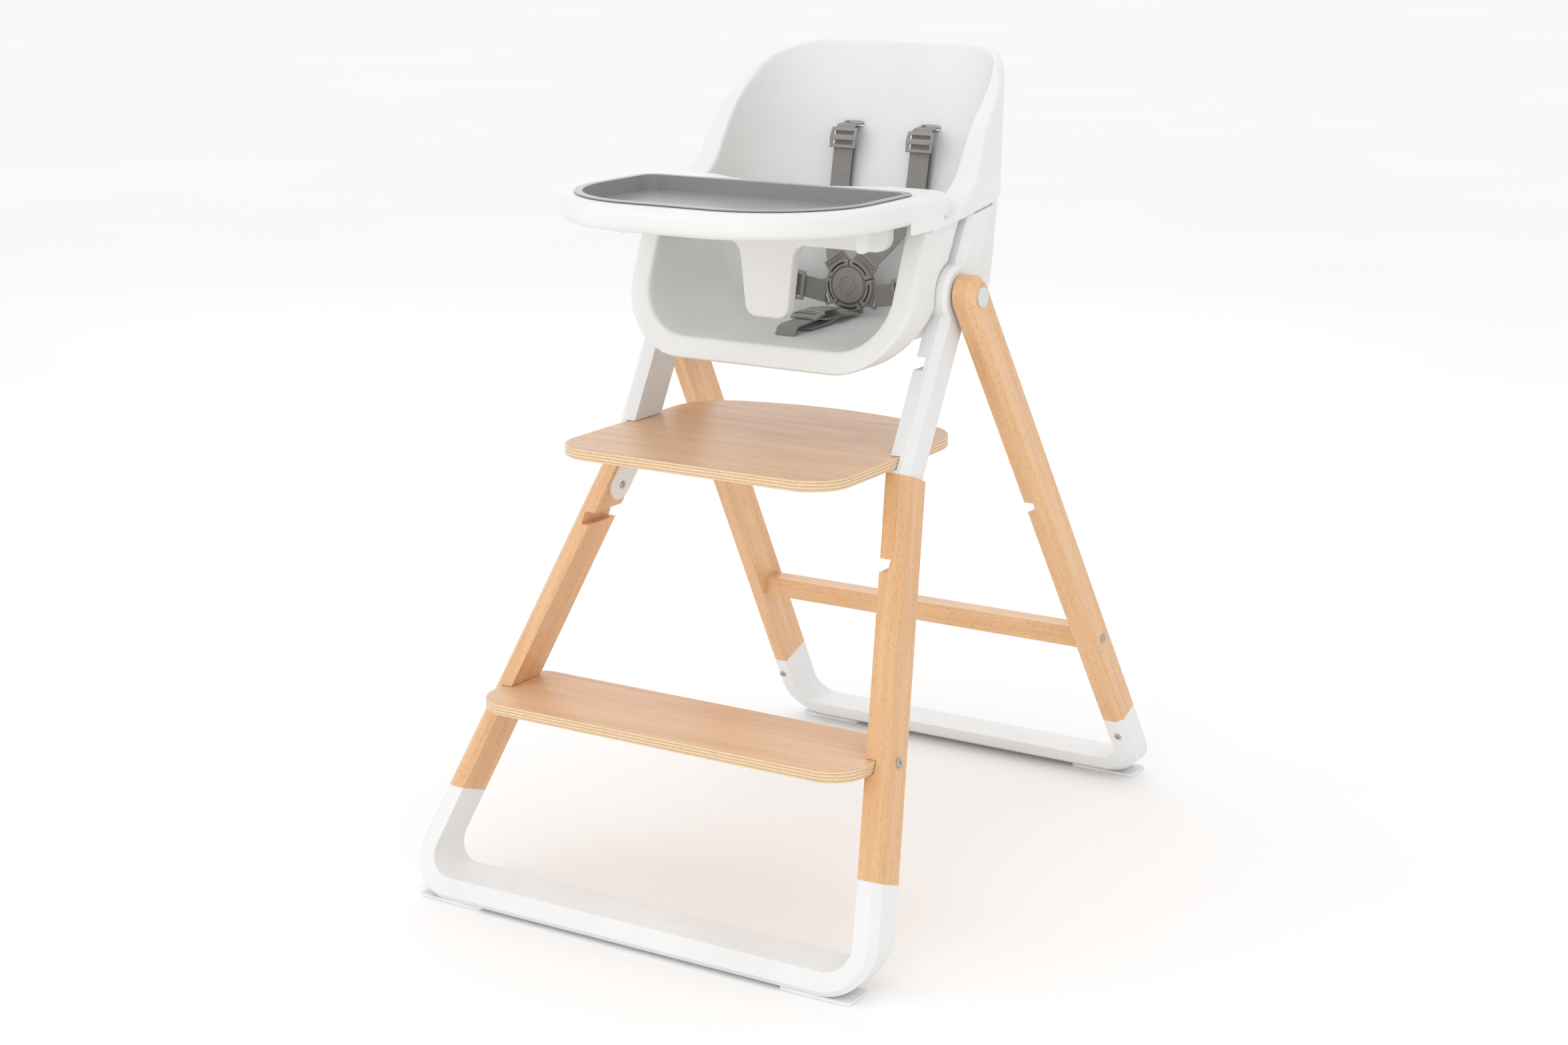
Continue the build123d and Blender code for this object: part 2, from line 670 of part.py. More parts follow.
def plan_prism(half_width, inset, corner):
    """Round-backed plan of the seat, run up along the lean of its back.

    half_width(z) is the half width of the plan at height z.
    """
    sections = []
    for z in (seat_bottom - 40, back_top + 40):
        half, rear = half_width(z), back_y(z) - inset
        plan = Polygon(
            (-half, -deep), (half, -deep), (half, rear), (-half, rear), align=None)
        sections.append(Pos(0, 0, z) * fillet(plan.vertices().sort_by(Axis.Y)[-2:], corner))
    return loft(sections, ruled=True)


def wing_half(z):
    """Half width of the seat at height z, over the arms."""
    return arm_rest_half_width - back_narrowing * (z - arm_rest_height) / back_rise


body_bottom = seat_bottom + seat_body_rise
body_half = arm_inner - seat_play
wing_start = Vector(pivot_y - wing_gap, arm_rest_height)
wing_end = Vector(back_y(back_top) - wing_crest, back_top)
wing_points = [wing_start]
for run_share, rise_share in wing_curve:
    wing_points.append(wing_start + Vector(
        run_share * (wing_end.X - wing_start.X), rise_share * (wing_end.Y - wing_start.Y)))
wing_points.append(wing_end)
side_edges = [
    Line((rim_y(seat_bottom), seat_bottom), (rim_y(arm_rest_height), arm_rest_height)),
    Line((rim_y(arm_rest_height), arm_rest_height), wing_points[0]),
    Spline(*wing_points, tangents=[(1, 1), (1, 0.3)]),
    Line(wing_points[-1], (back_y(back_top), back_top)),
    Line((back_y(back_top), back_top), (back_y(seat_bottom), seat_bottom)),
    Line((back_y(seat_bottom), seat_bottom), (rim_y(seat_bottom), seat_bottom))]
side_region = from_side(make_face(side_edges))
band_region = from_side(Polygon(
    (front_y(seat_bottom) - deep, seat_bottom),
    (front_y(seat_bottom) - rim_band_gap, seat_bottom),
    (front_y(arm_rest_height) - rim_band_gap, arm_rest_height),
    (front_y(arm_rest_height) - deep, arm_rest_height), align=None))
rim_band = from_front(
    trough(seat_half_width, seat_bottom, arm_rest_height, seat_corner)) & band_region
heel = from_side(fillet(Polygon(
    (-deep, body_bottom), (back_y(body_bottom), body_bottom),
    (back_y(back_top + 40), back_top + 40), (-deep, back_top + 40),
    align=None).vertices().sort_by(Axis.Y)[:2].sort_by(Axis.X)[-1:], heel_radius))
seat_body = from_front(
    trough(body_half, body_bottom, arm_rest_height + body_lap, seat_corner - seat_body_rise)) & heel
wing_face = Polygon(
    (-arm_rest_half_width, seat_bottom), (arm_rest_half_width, seat_bottom),
    (arm_rest_half_width, arm_rest_height), (back_half_width, back_top),
    (-back_half_width, back_top), (-arm_rest_half_width, arm_rest_height), align=None)
wing_face = fillet(wing_face.vertices().sort_by(Axis.Y)[-2:], back_top_corner)
wings = above(from_front(wing_face), arm_top_cut)
seat = (rim_band + seat_body + wings) & side_region
seat = seat & plan_prism(wing_half, 0, back_plan_corner)
inner_half = seat_half_width - seat_rim
cavity_face = Polygon(
    (-inner_half, seat_floor), (inner_half, seat_floor), (inner_half, back_top + 40),
    (-inner_half, back_top + 40), align=None)
cavity_face = fillet(cavity_face.vertices().sort_by(Axis.Y)[:2], seat_corner - seat_rim)
cavity_side = Polygon(
    (-deep, seat_floor), (back_y(seat_floor) - back_wall, seat_floor),
    (back_y(back_top + 40) - back_wall, back_top + 40), (-deep, back_top + 40), align=None)
cavity_corner = cavity_side.vertices().group_by(Axis.Y)[0].sort_by(Axis.X)[-1]
cavity = from_front(cavity_face) & from_side(fillet(cavity_corner, heel_radius - back_wall))
cavity = cavity & plan_prism(lambda z: inner_half, back_wall, back_plan_corner - back_wall)
seat -= cavity
boss_room = rod(axis_point + Vector(body_half, 0, 0), Vector(1, 0, 0), member_width,
                2 * (pivot_boss_radius + seat_boss_gap))
seat = seat - boss_room - mirrored(boss_room)

# slots for the webbing
shoulder_slot_y = back_y(shoulder_slot_height)
slot_long = webbing_width + 2 * slot_play
slot_short = webbing_thickness + 2 * slot_play
for side in (-1, 1):
    middle = side * shoulder_spread
    seat -= block(
        (middle - slot_long / 2, middle + slot_long / 2),
        (shoulder_slot_y - 3 * back_wall, shoulder_slot_y + back_wall),
        (shoulder_slot_height - slot_short / 2, shoulder_slot_height + slot_short / 2))
waist_y = pivot_y + waist_slot_behind
for side in (-1, 1):
    middle = side * (inner_half + 10)
    seat -= block(
        (middle - 50, middle + 50), (waist_y - slot_short / 2, waist_y + slot_short / 2),
        (waist_slot_height - slot_long / 2, waist_slot_height + slot_long / 2))
crotch_slot_y = pivot_y - crotch_slot_ahead
seat -= block(
    (-slot_long / 2, slot_long / 2),
    (crotch_slot_y - slot_short / 2, crotch_slot_y + slot_short / 2),
    (seat_bottom - 5, seat_floor + 5))

# pins that lock the seat to the arms
seat_pin_point = Vector(
    body_half - seat_pin_bite, front_y(seat_pin_height) + front_run / 2, seat_pin_height)
seat_pin = rod(seat_pin_point, Vector(1, 0, 0), seat_pin_length, seat_pin_diameter)
seat_pin_hole = rod(
    seat_pin_point - Vector(hole_depth_play, 0, 0), Vector(1, 0, 0),
    seat_pin_length + 2 * hole_depth_play, seat_pin_diameter + 2 * fit)
arm -= seat_pin_hole
seat = seat - seat_pin_hole - mirrored(seat_pin_hole)

# ---------------------------------------------------------------- tray
tray_low = arm_rest_height + tray_play
tray_top = tray_low + tray_height
tray_y0 = pivot_y - tray_front
tray_y1 = tray_y0 + tray_length
recess_y0 = tray_y0 + tray_front_rim
recess_y1 = tray_y1 - tray_back_rim
recess_half = tray_half_width - tray_side_rim


def tray_outline(half_width, y_low, y_high, front_corner, back_corner):
    """Plan of the tray or of its recess: a rectangle with larger corners at the front."""
    plan = Polygon(
        (-half_width, y_low), (half_width, y_low), (half_width, y_high), (-half_width, y_high),
        align=None)
    plan = fillet(plan.vertices().sort_by(Axis.Y)[:2], front_corner)
    return fillet(plan.vertices().sort_by(Axis.Y)[-2:], back_corner)


tray_plan = tray_outline(tray_half_width, tray_y0, tray_y1, tray_front_corner, tray_back_corner)
belly = Pos(0, tray_y1 + belly_radius - belly_depth) * Circle(belly_radius)
tray = extrude(Pos(0, 0, tray_low) * (tray_plan - belly), amount=tray_height)
tray = fillet(tray.edges().group_by(Axis.Z)[-1], tray_edge_radius)
tray = fillet(tray.edges().group_by(Axis.Z)[0], tray_edge_radius)


def recess(inset, low, high):
    """Solid that fills the tray's recess between two heights, inset from its walls."""
    plan = tray_outline(
        recess_half - inset, recess_y0 + inset, recess_y1 - inset, recess_corner - inset,
        recess_back_corner - inset)
    return extrude(Pos(0, 0, low) * plan, amount=high - low)


tray -= recess(0, tray_low + tray_floor, tray_top + 1)
insert_low = tray_top - insert_depth
insert_top = tray_top + insert_play + insert_lip_thickness
tray_insert = recess(insert_play, insert_low, insert_top)
lip = recess(-insert_lip, tray_top + insert_play, insert_top)
tray_insert += lip
tray_insert -= recess(insert_play + insert_wall, insert_low + insert_wall, insert_top + 1)

post_front = pivot_y - post_ahead
bridge_low = arm_rest_height - bridge_drop
post_face = Polygon(
    (-post_width / 2, post_bottom), (post_width / 2, post_bottom),
    (post_width / 2 + post_flare, bridge_low), (bridge_half_length, bridge_low),
    (bridge_half_length, tray_low), (-bridge_half_length, tray_low),
    (-bridge_half_length, bridge_low), (-post_width / 2 - post_flare, bridge_low), align=None)
post_face = fillet(post_face.vertices().group_by(Axis.Y)[0], post_end_radius)
bridge_corners = post_face.vertices().filter_by(lambda v: abs(v.Y - bridge_low) < 0.01)
post_face = fillet(bridge_corners, post_web_radius)
post_plane = Plane(origin=(0, post_front, 0), x_dir=(1, 0, 0), z_dir=(0, -1, 0))
crotch_post = extrude(post_plane * post_face, amount=-post_thickness)

runner_x0 = arm_rest_half_width + tray_play
runner_x1 = runner_x0 + runner_thickness
tray_runner = block(
    (runner_x0, runner_x1),
    (tray_y1 - runner_set_back - runner_length, tray_y1 - runner_set_back),
    (tray_low - runner_drop, tray_low + runner_bite))
tray = tray - tray_runner - mirrored(tray_runner)

lever_y = pivot_y - lever_ahead
lever_top = tray_low - lever_play
lever = block(
    (bridge_half_length - lever_width / 2, bridge_half_length + lever_width / 2),
    (lever_y - lever_depth / 2, lever_y + lever_depth / 2), (lever_top - lever_drop, lever_top))
lever = fillet(lever.edges().filter_by(Axis.Y).group_by(Axis.Z)[0], lever_end_radius)
stem_half = lever_stem_width / 2
lever += block(
    (bridge_half_length - stem_half, bridge_half_length + stem_half),
    (lever_y - stem_half, lever_y + stem_half), (lever_top - 1, tray_low + lever_stem_bite))
lever_slot = block(
    (bridge_half_length - stem_half - lever_play, bridge_half_length + stem_half + lever_play),
    (lever_y - stem_half - lever_play - lever_travel, lever_y + stem_half + lever_play),
    (tray_low - 1, tray_low + lever_stem_bite + lever_play))
tray = tray - lever_slot - mirrored(lever_slot)

# ---------------------------------------------------------------- harness


def ribbon(points, width, across_axis):
    """Webbing along straight runs between points, its width along across_axis."""
    solid = None
    for start, end in zip(points[:-1], points[1:]):
        start = Vector(*start)
        end = Vector(*end)
        run = end - start
        flat = across_axis - run.normalized() * across_axis.dot(run.normalized())
        plane = Plane(
            origin=(start + end) * 0.5, x_dir=run.normalized(),
            z_dir=run.cross(flat).normalized())
        piece = plane * Box(run.length + webbing_thickness, width, webbing_thickness)
        solid = piece if solid is None else solid + piece
    return solid


def back_inside_y(z):
    """Y of the front face of the seat's back at height z."""
    return back_y(z) - back_wall


buckle_y = pivot_y + buckle_behind
upper_strap_y = back_inside_y(shoulder_slot_height) - upper_stand_off
lower_strap_y = back_inside_y(shoulder_bend_height) - lower_stand_off
shoulder_strap = ribbon(
    [(shoulder_spread, shoulder_slot_y - 2, shoulder_slot_height),
     (shoulder_spread, upper_strap_y, shoulder_slot_height),
     (shoulder_spread, lower_strap_y, shoulder_bend_height),
     (shoulder_gather, buckle_y + webbing_thickness,
      buckle_height + buckle_radius + connector_reach)],
    webbing_width, Vector(1, 0, 0))
strap_run = Vector(
    0, lower_strap_y - upper_strap_y, shoulder_bend_height - shoulder_slot_height).normalized()
adjuster_spot = Vector(shoulder_spread, upper_strap_y, shoulder_slot_height) + (
    strap_run * shoulder_adjuster_drop)


def slider(spot, run, across_axis):
    """Strap adjuster: a frame round the webbing, its long axis across the strap."""
    plane = Plane(origin=spot, x_dir=across_axis, z_dir=run)
    frame = plane * Box(adjuster_width, adjuster_thickness, adjuster_height)
    frame = fillet(frame.edges().filter_by(GeomType.LINE), adjuster_edge)
    return frame - plane * Box(
        webbing_width + 2 * adjuster_play, webbing_thickness + 2 * adjuster_play,
        adjuster_height + 2)


shoulder_adjuster = slider(adjuster_spot, strap_run, Vector(1, 0, 0))
waist_strap = ribbon(
    [(inner_half, waist_y, waist_slot_height),
     (buckle_radius + connector_reach + 1, buckle_y, buckle_height)],
    webbing_width, Vector(0, 0, 1))
waist_adjuster = slider(
    Vector(waist_adjuster_spread, buckle_y, (waist_slot_height + buckle_height) / 2),
    Vector(1, 0, 0), Vector(0, 0, 1))
crotch_level = seat_floor + adjuster_thickness / 2 + 1
crotch_strap = ribbon(
    [(0, crotch_slot_y, seat_floor - 8), (0, crotch_slot_y, crotch_level - 1),
     (0, crotch_slot_y + 16, crotch_level), (0, buckle_y - buckle_thickness, crotch_level)],
    webbing_width, Vector(1, 0, 0))
crotch_adjusters = [
    slider(Vector(0, buckle_y - ahead, crotch_level), Vector(0, 1, 0), Vector(1, 0, 0))
    for ahead in crotch_adjuster_places]

buckle_axis = Vector(0, -1, 0)
buckle_back = Vector(0, buckle_y + buckle_thickness / 2, buckle_height)
hub_radius = button_radius + hub_wall
buckle_body = rod(buckle_back, buckle_axis, buckle_thickness, 2 * hub_radius)
buckle_body += rod(buckle_back, buckle_axis, buckle_plate, 2 * buckle_radius)
button_seat = buckle_back + buckle_axis * (buckle_thickness - button_depth)
buckle_body -= rod(button_seat, buckle_axis, button_depth + 1, 2 * (button_radius + button_play))
button_lift = button_travel + button_floor_gap
button_start = button_seat + buckle_axis * button_lift
buckle_button = rod(
    button_start, buckle_axis, button_depth - button_lift + button_proud, 2 * button_radius)
buckle_button = fillet(buckle_button.edges().group_by(Axis.Y)[0], adjuster_edge)


def segment(angle, loop_reach):
    """One segment of the buckle's ring, with the loop that holds its strap."""
    height = buckle_thickness - buckle_plate - 2 * segment_gap
    front = buckle_back + buckle_axis * (buckle_plate + segment_gap)
    plane = Plane(origin=front, x_dir=(1, 0, 0), z_dir=buckle_axis)
    hub_room = Circle(hub_radius + segment_gap)
    reach = 3 * buckle_radius
    first = radians(angle - segment_half_angle)
    last = radians(angle + segment_half_angle)
    wedge = Polygon(
        (0, 0), (reach * cos(first), reach * sin(first)),
        (reach * cos(radians(angle)), reach * sin(radians(angle))),
        (reach * cos(last), reach * sin(last)), align=None)
    petal = (Circle(buckle_radius) - hub_room) & wedge
    loop_middle = buckle_radius + loop_reach / 2 - webbing_thickness
    loop = Rot(0, 0, angle) * (
        Pos(loop_middle, 0) * Rectangle(loop_reach + 2 * webbing_thickness, webbing_width))
    return extrude(plane * (petal + (loop - hub_room)), amount=height)


buckle_connectors = [
    segment(angle, connector_reach - webbing_thickness) for angle in connector_angles]
buckle_body += segment(crotch_segment_angle, webbing_thickness / 2)
buckle_body += rod(
    buckle_back, buckle_axis, buckle_plate + 2 * segment_gap, 2 * (hub_radius + segment_gap))

# ---------------------------------------------------------------- one file for each piece
parts["front_foot_bar"] = front_foot
parts["rear_foot_bar"] = rear_foot
for name, shape in (
        ("front_foot_pad", front_pad), ("rear_foot_pad", rear_pad), ("front_leg", front_leg),
        ("rear_leg", rear_leg), ("front_arm", arm), ("pivot_pin", pivot_pin),
        ("pivot_washer", pivot_washer), ("pivot_cap", pivot_cap)):
    parts[name + "_right"] = shape
    parts[name + "_left"] = mirrored(shape)
parts["arm_screws"] = both(arm_screw)
parts["rear_rail"] = rear_rail
parts["rail_bolts"] = both(rail_bolt)
parts["footrest_panel"] = footrest
parts["footrest_bolts"] = both(footrest_bolt)
parts["upper_panel"] = upper_panel
parts["front_sleeve_screws"] = both(front_sleeve_screw)
parts["rear_sleeve_screws"] = both(rear_sleeve_screw)
parts["seat_shell"] = seat
parts["seat_pins"] = both(seat_pin)
parts["tray_shell"] = tray
parts["tray_runners"] = both(tray_runner)
parts["tray_insert"] = tray_insert
parts["crotch_post"] = crotch_post
parts["crotch_strap"] = crotch_strap
parts["crotch_adjusters"] = Compound(children=crotch_adjusters)
parts["buckle_body"] = buckle_body
parts["buckle_button"] = buckle_button
parts["buckle_connectors"] = Compound(children=buckle_connectors)
for name, shape in (
        ("tray_lever", lever), ("shoulder_strap", shoulder_strap),
        ("shoulder_adjuster", shoulder_adjuster), ("waist_strap", waist_strap),
        ("waist_adjuster", waist_adjuster)):
    parts[name + "_right"] = shape
    parts[name + "_left"] = mirrored(shape)

os.makedirs("parts", exist_ok=True)
for name, shape in parts.items():
    export_step(shape, "parts/" + name + ".step")
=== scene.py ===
"""Looks of a folding baby high chair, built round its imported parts, in metres and in the parts' own frame."""
import logging
import math
from dataclasses import dataclass, field
from enum import Enum
from typing import Callable, Optional, Sequence

import bmesh
import bpy
from mathutils import Matrix, Vector

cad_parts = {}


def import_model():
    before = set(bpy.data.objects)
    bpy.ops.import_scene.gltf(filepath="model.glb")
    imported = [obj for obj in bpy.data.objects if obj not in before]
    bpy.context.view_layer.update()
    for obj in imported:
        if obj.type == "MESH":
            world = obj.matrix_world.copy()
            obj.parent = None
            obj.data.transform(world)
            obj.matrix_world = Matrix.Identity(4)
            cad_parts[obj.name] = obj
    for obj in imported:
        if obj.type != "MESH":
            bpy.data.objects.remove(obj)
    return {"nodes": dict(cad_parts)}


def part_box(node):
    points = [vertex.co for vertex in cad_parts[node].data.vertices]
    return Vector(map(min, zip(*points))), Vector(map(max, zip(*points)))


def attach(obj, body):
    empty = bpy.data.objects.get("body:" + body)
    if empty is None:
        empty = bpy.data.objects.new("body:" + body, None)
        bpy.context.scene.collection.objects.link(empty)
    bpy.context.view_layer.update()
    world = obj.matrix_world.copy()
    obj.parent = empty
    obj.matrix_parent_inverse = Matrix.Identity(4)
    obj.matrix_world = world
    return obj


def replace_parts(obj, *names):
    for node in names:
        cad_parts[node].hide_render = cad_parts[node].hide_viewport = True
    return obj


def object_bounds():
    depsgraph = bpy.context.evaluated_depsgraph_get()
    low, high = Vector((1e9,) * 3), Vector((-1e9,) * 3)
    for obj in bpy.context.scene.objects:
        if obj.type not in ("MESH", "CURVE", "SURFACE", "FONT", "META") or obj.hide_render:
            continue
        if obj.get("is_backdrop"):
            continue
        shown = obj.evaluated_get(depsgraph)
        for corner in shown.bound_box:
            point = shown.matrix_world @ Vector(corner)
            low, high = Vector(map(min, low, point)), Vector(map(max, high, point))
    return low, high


LOG = logging.getLogger("high_chair")
MM = 0.001
WELD_DISTANCE = 0.02 * MM
FLAT_LIMIT = 0.4            # degrees between faces that count as one flat face
FACE_DEPTH = 0.05 * MM      # points this near a face count as on it
SHOULDER_ANGLE = 54.0       # directions round the buckle in which the straps leave it, in degrees
WAIST_ANGLE = -18.0
X_AXIS = Vector((1, 0, 0))
Y_AXIS = Vector((0, 1, 0))
Z_AXIS = Vector((0, 0, 1))
Colour = tuple[float, float, float]


class Body(Enum):
    """Bodies of the chair that new pieces move with."""

    FRONT = "front_frame"
    REAR = "rear_frame"
    TRAY = "tray"
    BUTTON = "buckle_button"
    SLIDER_LEFT = "shoulder_adjuster_left"
    SLIDER_RIGHT = "shoulder_adjuster_right"
    LEVER_LEFT = "tray_lever_left"
    LEVER_RIGHT = "tray_lever_right"


class Side(Enum):
    """The two sides of the chair."""

    LEFT = -1
    RIGHT = 1

    def node(self, stem: str) -> str:
        """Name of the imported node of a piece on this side."""
        return f"{stem}_{self.name.lower()}"


class Head(Enum):
    """Kinds of fastener head: radius of the head and of its socket, in metres."""

    BOLT = (5.5 * MM, 2.2 * MM)
    SCREW = (4.5 * MM, 1.7 * MM)


# ---------------------------------------------------------------- finishes
class Graph:
    """Short way to write the shader nodes of one material."""

    MIX_SHARE, MIX_FIRST, MIX_SECOND, MIX_RESULT = 0, 6, 7, 2

    def __init__(self, name: str) -> None:
        """Starts a material with a Principled shader.

        Args:
            name: name of the material.
        """
        self.material = bpy.data.materials.new(name)
        self.material.use_nodes = True
        self.tree = self.material.node_tree
        self.shader = self.tree.nodes["Principled BSDF"]
        self.coordinates = self.tree.nodes.new("ShaderNodeTexCoord")

    def add(self, kind: str, **settings: object) -> bpy.types.Node:
        """Adds one shader node.

        Args:
            kind: Blender's name of the node, without its ShaderNode prefix.
            settings: properties of the node; those with a socket's name set or link that socket.

        Returns:
            The new node.
        """
        node = self.tree.nodes.new("ShaderNode" + kind)
        for key, value in settings.items():
            if hasattr(node, key):
                setattr(node, key, value)
                continue
            socket = node.inputs[int(key[1:])] if key[1:].isdigit() else node.inputs[key.replace("_", " ")]
            self.feed(socket, value)
        return node

    def feed(self, socket: bpy.types.NodeSocket, value: object) -> None:
        """Links an output to a socket, or sets the socket's own value.

        Args:
            socket: the socket that is fed.
            value: an output socket, a number, a colour or a vector.
        """
        if isinstance(value, bpy.types.NodeSocket):
            self.tree.links.new(value, socket)
        else:
            socket.default_value = value

    def math(self, operation: str, first: object, second: object = 0.0) -> bpy.types.NodeSocket:
        """Result of one Math node."""
        return self.add("Math", operation=operation, i0=first, i1=second).outputs[0]

    def noise(self, scale: float, detail: float = 2.0, vector: object = None) -> bpy.types.NodeSocket:
        """Noise over the object's own coordinates, or over the vector that is given."""
        place = self.coordinates.outputs["Object"] if vector is None else vector
        return self.add("TexNoise", Scale=scale, Detail=detail, Vector=place).outputs["Fac"]

    def spread(self, value: object, low: float, high: float,
               start: float = 0.35, end: float = 0.65) -> bpy.types.NodeSocket:
        """Maps a noise's middle range onto the range low to high."""
        node = self.add("MapRange", Value=value, From_Min=start, From_Max=end, To_Min=low, To_Max=high)
        return node.outputs["Result"]

    def blend(self, share: object, first: object, second: object) -> bpy.types.NodeSocket:
        """Mixes two colours.

        Args:
            share: part of the second colour, from 0 to 1.
            first: the first colour.
            second: the second colour.

        Returns:
            The mixed colour.
        """
        node = self.add("Mix", data_type="RGBA")
        self.feed(node.inputs[self.MIX_SHARE], share)
        self.feed(node.inputs[self.MIX_FIRST], first)
        self.feed(node.inputs[self.MIX_SECOND], second)
        return node.outputs[self.MIX_RESULT]

    def mean(self, first: object, second: object, share: float = 0.5) -> bpy.types.NodeSocket:
        """Weighted mean of two fields, with this share of the first."""
        return self.math("ADD", self.math("MULTIPLY", first, share), self.math("MULTIPLY", second, 1 - share))

    def shaded(self, colour: object, shade: object, share: float) -> bpy.types.NodeSocket:
        """Multiplies a colour by a field, to this share."""
        return self.add("MixRGB", blend_type="MULTIPLY", Fac=share, Color1=colour, Color2=shade).outputs[0]

    def warped(self, vector: object, scale: float, detail: float, share: float) -> bpy.types.NodeSocket:
        """Coordinates that wander by a noise of their own, to this share."""
        drift = self.add("TexNoise", Scale=scale, Detail=detail, Vector=vector).outputs["Color"]
        return self.add("MixRGB", blend_type="ADD", Fac=share, Color1=vector, Color2=drift).outputs[0]

    def stretched(self, vector: object, scale: tuple[float, float, float]) -> bpy.types.NodeSocket:
        """Scales coordinates; a small factor draws a pattern out along that axis.

        Args:
            vector: the coordinates.
            scale: factor along each axis.

        Returns:
            The scaled coordinates.
        """
        node = self.add("Mapping", vector_type="POINT", Vector=vector)
        node.inputs["Scale"].default_value = scale
        return node.outputs[0]

    def layer(self, kind: str, weight: float, roughness: float) -> None:
        """Sets the shader's Coat or Sheen."""
        self.shader.inputs[kind + " Weight"].default_value = weight
        self.shader.inputs[kind + " Roughness"].default_value = roughness

    def bump(self, height: object, depth: float, before: object = None) -> bpy.types.NodeSocket:
        """Bump from a height field.

        Args:
            height: field from 0 to 1.
            depth: height of the relief in metres.
            before: normal of a coarser relief under this one.

        Returns:
            The bumped normal.
        """
        node = self.add("Bump", Height=height, Distance=depth)
        if before is not None:
            self.feed(node.inputs["Normal"], before)
        return node.outputs["Normal"]

    def finish(self, colour: object, roughness: object, normal: object) -> bpy.types.Material:
        """Feeds the shader.

        Args:
            colour: base colour.
            roughness: roughness from 0 to 1.
            normal: the bumped normal.

        Returns:
            The material.
        """
        self.feed(self.shader.inputs["Base Color"], colour)
        self.feed(self.shader.inputs["Roughness"], roughness)
        self.feed(self.shader.inputs["Normal"], normal)
        return self.material


def opaque(colour: Colour, factor: float = 1.0) -> tuple[float, float, float, float]:
    """A colour with full alpha, lighter or darker by a factor."""
    return (colour[0] * factor, colour[1] * factor, colour[2] * factor, 1.0)


@dataclass(frozen=True)
class Plastic:
    """Moulded plastic: faint mottling, a fine spark-eroded grain and uneven gloss."""

    name: str
    slot: str
    colour: Colour
    roughness: float = 0.38
    grain: float = 1400.0
    grain_depth: float = 0.00002
    coat: float = 0.0
    ripple: float = 0.0001
    smears: float = 0.05

    def material(self) -> bpy.types.Material:
        """Builds the material.

        Returns:
            The material.
        """
        g = Graph(self.name)
        mottle = g.spread(g.noise(9.0, 3.0), 0.0, 1.0)
        colour = g.blend(mottle, opaque(self.colour, 0.975), opaque(self.colour, 1.02))
        smear = g.spread(g.noise(38.0, 4.0), self.roughness - self.smears, self.roughness + self.smears)
        waves = g.bump(g.noise(26.0, 1.0), self.ripple)
        grain = g.bump(g.noise(self.grain, 1.0), self.grain_depth, waves)
        g.layer("Coat", self.coat, 0.25)
        return g.finish(colour, smear, grain)


@dataclass(frozen=True)
class Beech:
    """Lacquered solid beech whose grain runs along one direction."""

    name: str
    run: tuple[float, float, float]
    slot: str = "beech"
    light: Colour = (0.80, 0.50, 0.265)
    dark: Colour = (0.70, 0.395, 0.185)
    ring_scale: float = 165.0
    band_scale: float = 34.0
    pore_scale: float = 1250.0
    grain_stretch: float = 0.045
    pore_stretch: float = 0.16
    ring_relief: float = 0.06 * MM
    pore_relief: float = -0.05 * MM

    def material(self) -> bpy.types.Material:
        """Builds the material.

        Returns:
            The material.
        """
        g = Graph(self.name)
        turn = Vector(self.run).rotation_difference(Z_AXIS).to_euler()
        straight = g.add("Mapping", vector_type="POINT", Vector=g.coordinates.outputs["Object"])
        straight.inputs["Rotation"].default_value = turn
        warped = g.warped(g.stretched(straight.outputs[0], (1.0, 1.0, self.grain_stretch)), 7.0, 1.0, 0.055)
        rings = g.noise(self.ring_scale, 2.0, warped)
        bands = g.mean(rings, g.noise(self.band_scale, 1.0, warped), 0.55)
        tone = g.blend(g.spread(bands, 0.0, 1.0, 0.36, 0.64), opaque(self.dark), opaque(self.light))
        flecks = g.stretched(straight.outputs[0], (1.0, 1.0, self.pore_stretch))
        pore = g.spread(g.noise(self.pore_scale, 0.0, flecks), 0.0, 1.0, 0.64, 0.72)
        colour = g.blend(g.math("MULTIPLY", pore, 0.45), tone, opaque(self.dark, 0.6))
        roughness = g.spread(rings, 0.40, 0.30)
        relief = g.bump(pore, self.pore_relief, g.bump(rings, self.ring_relief))
        g.layer("Coat", 0.22, 0.28)
        return g.finish(colour, roughness, relief)


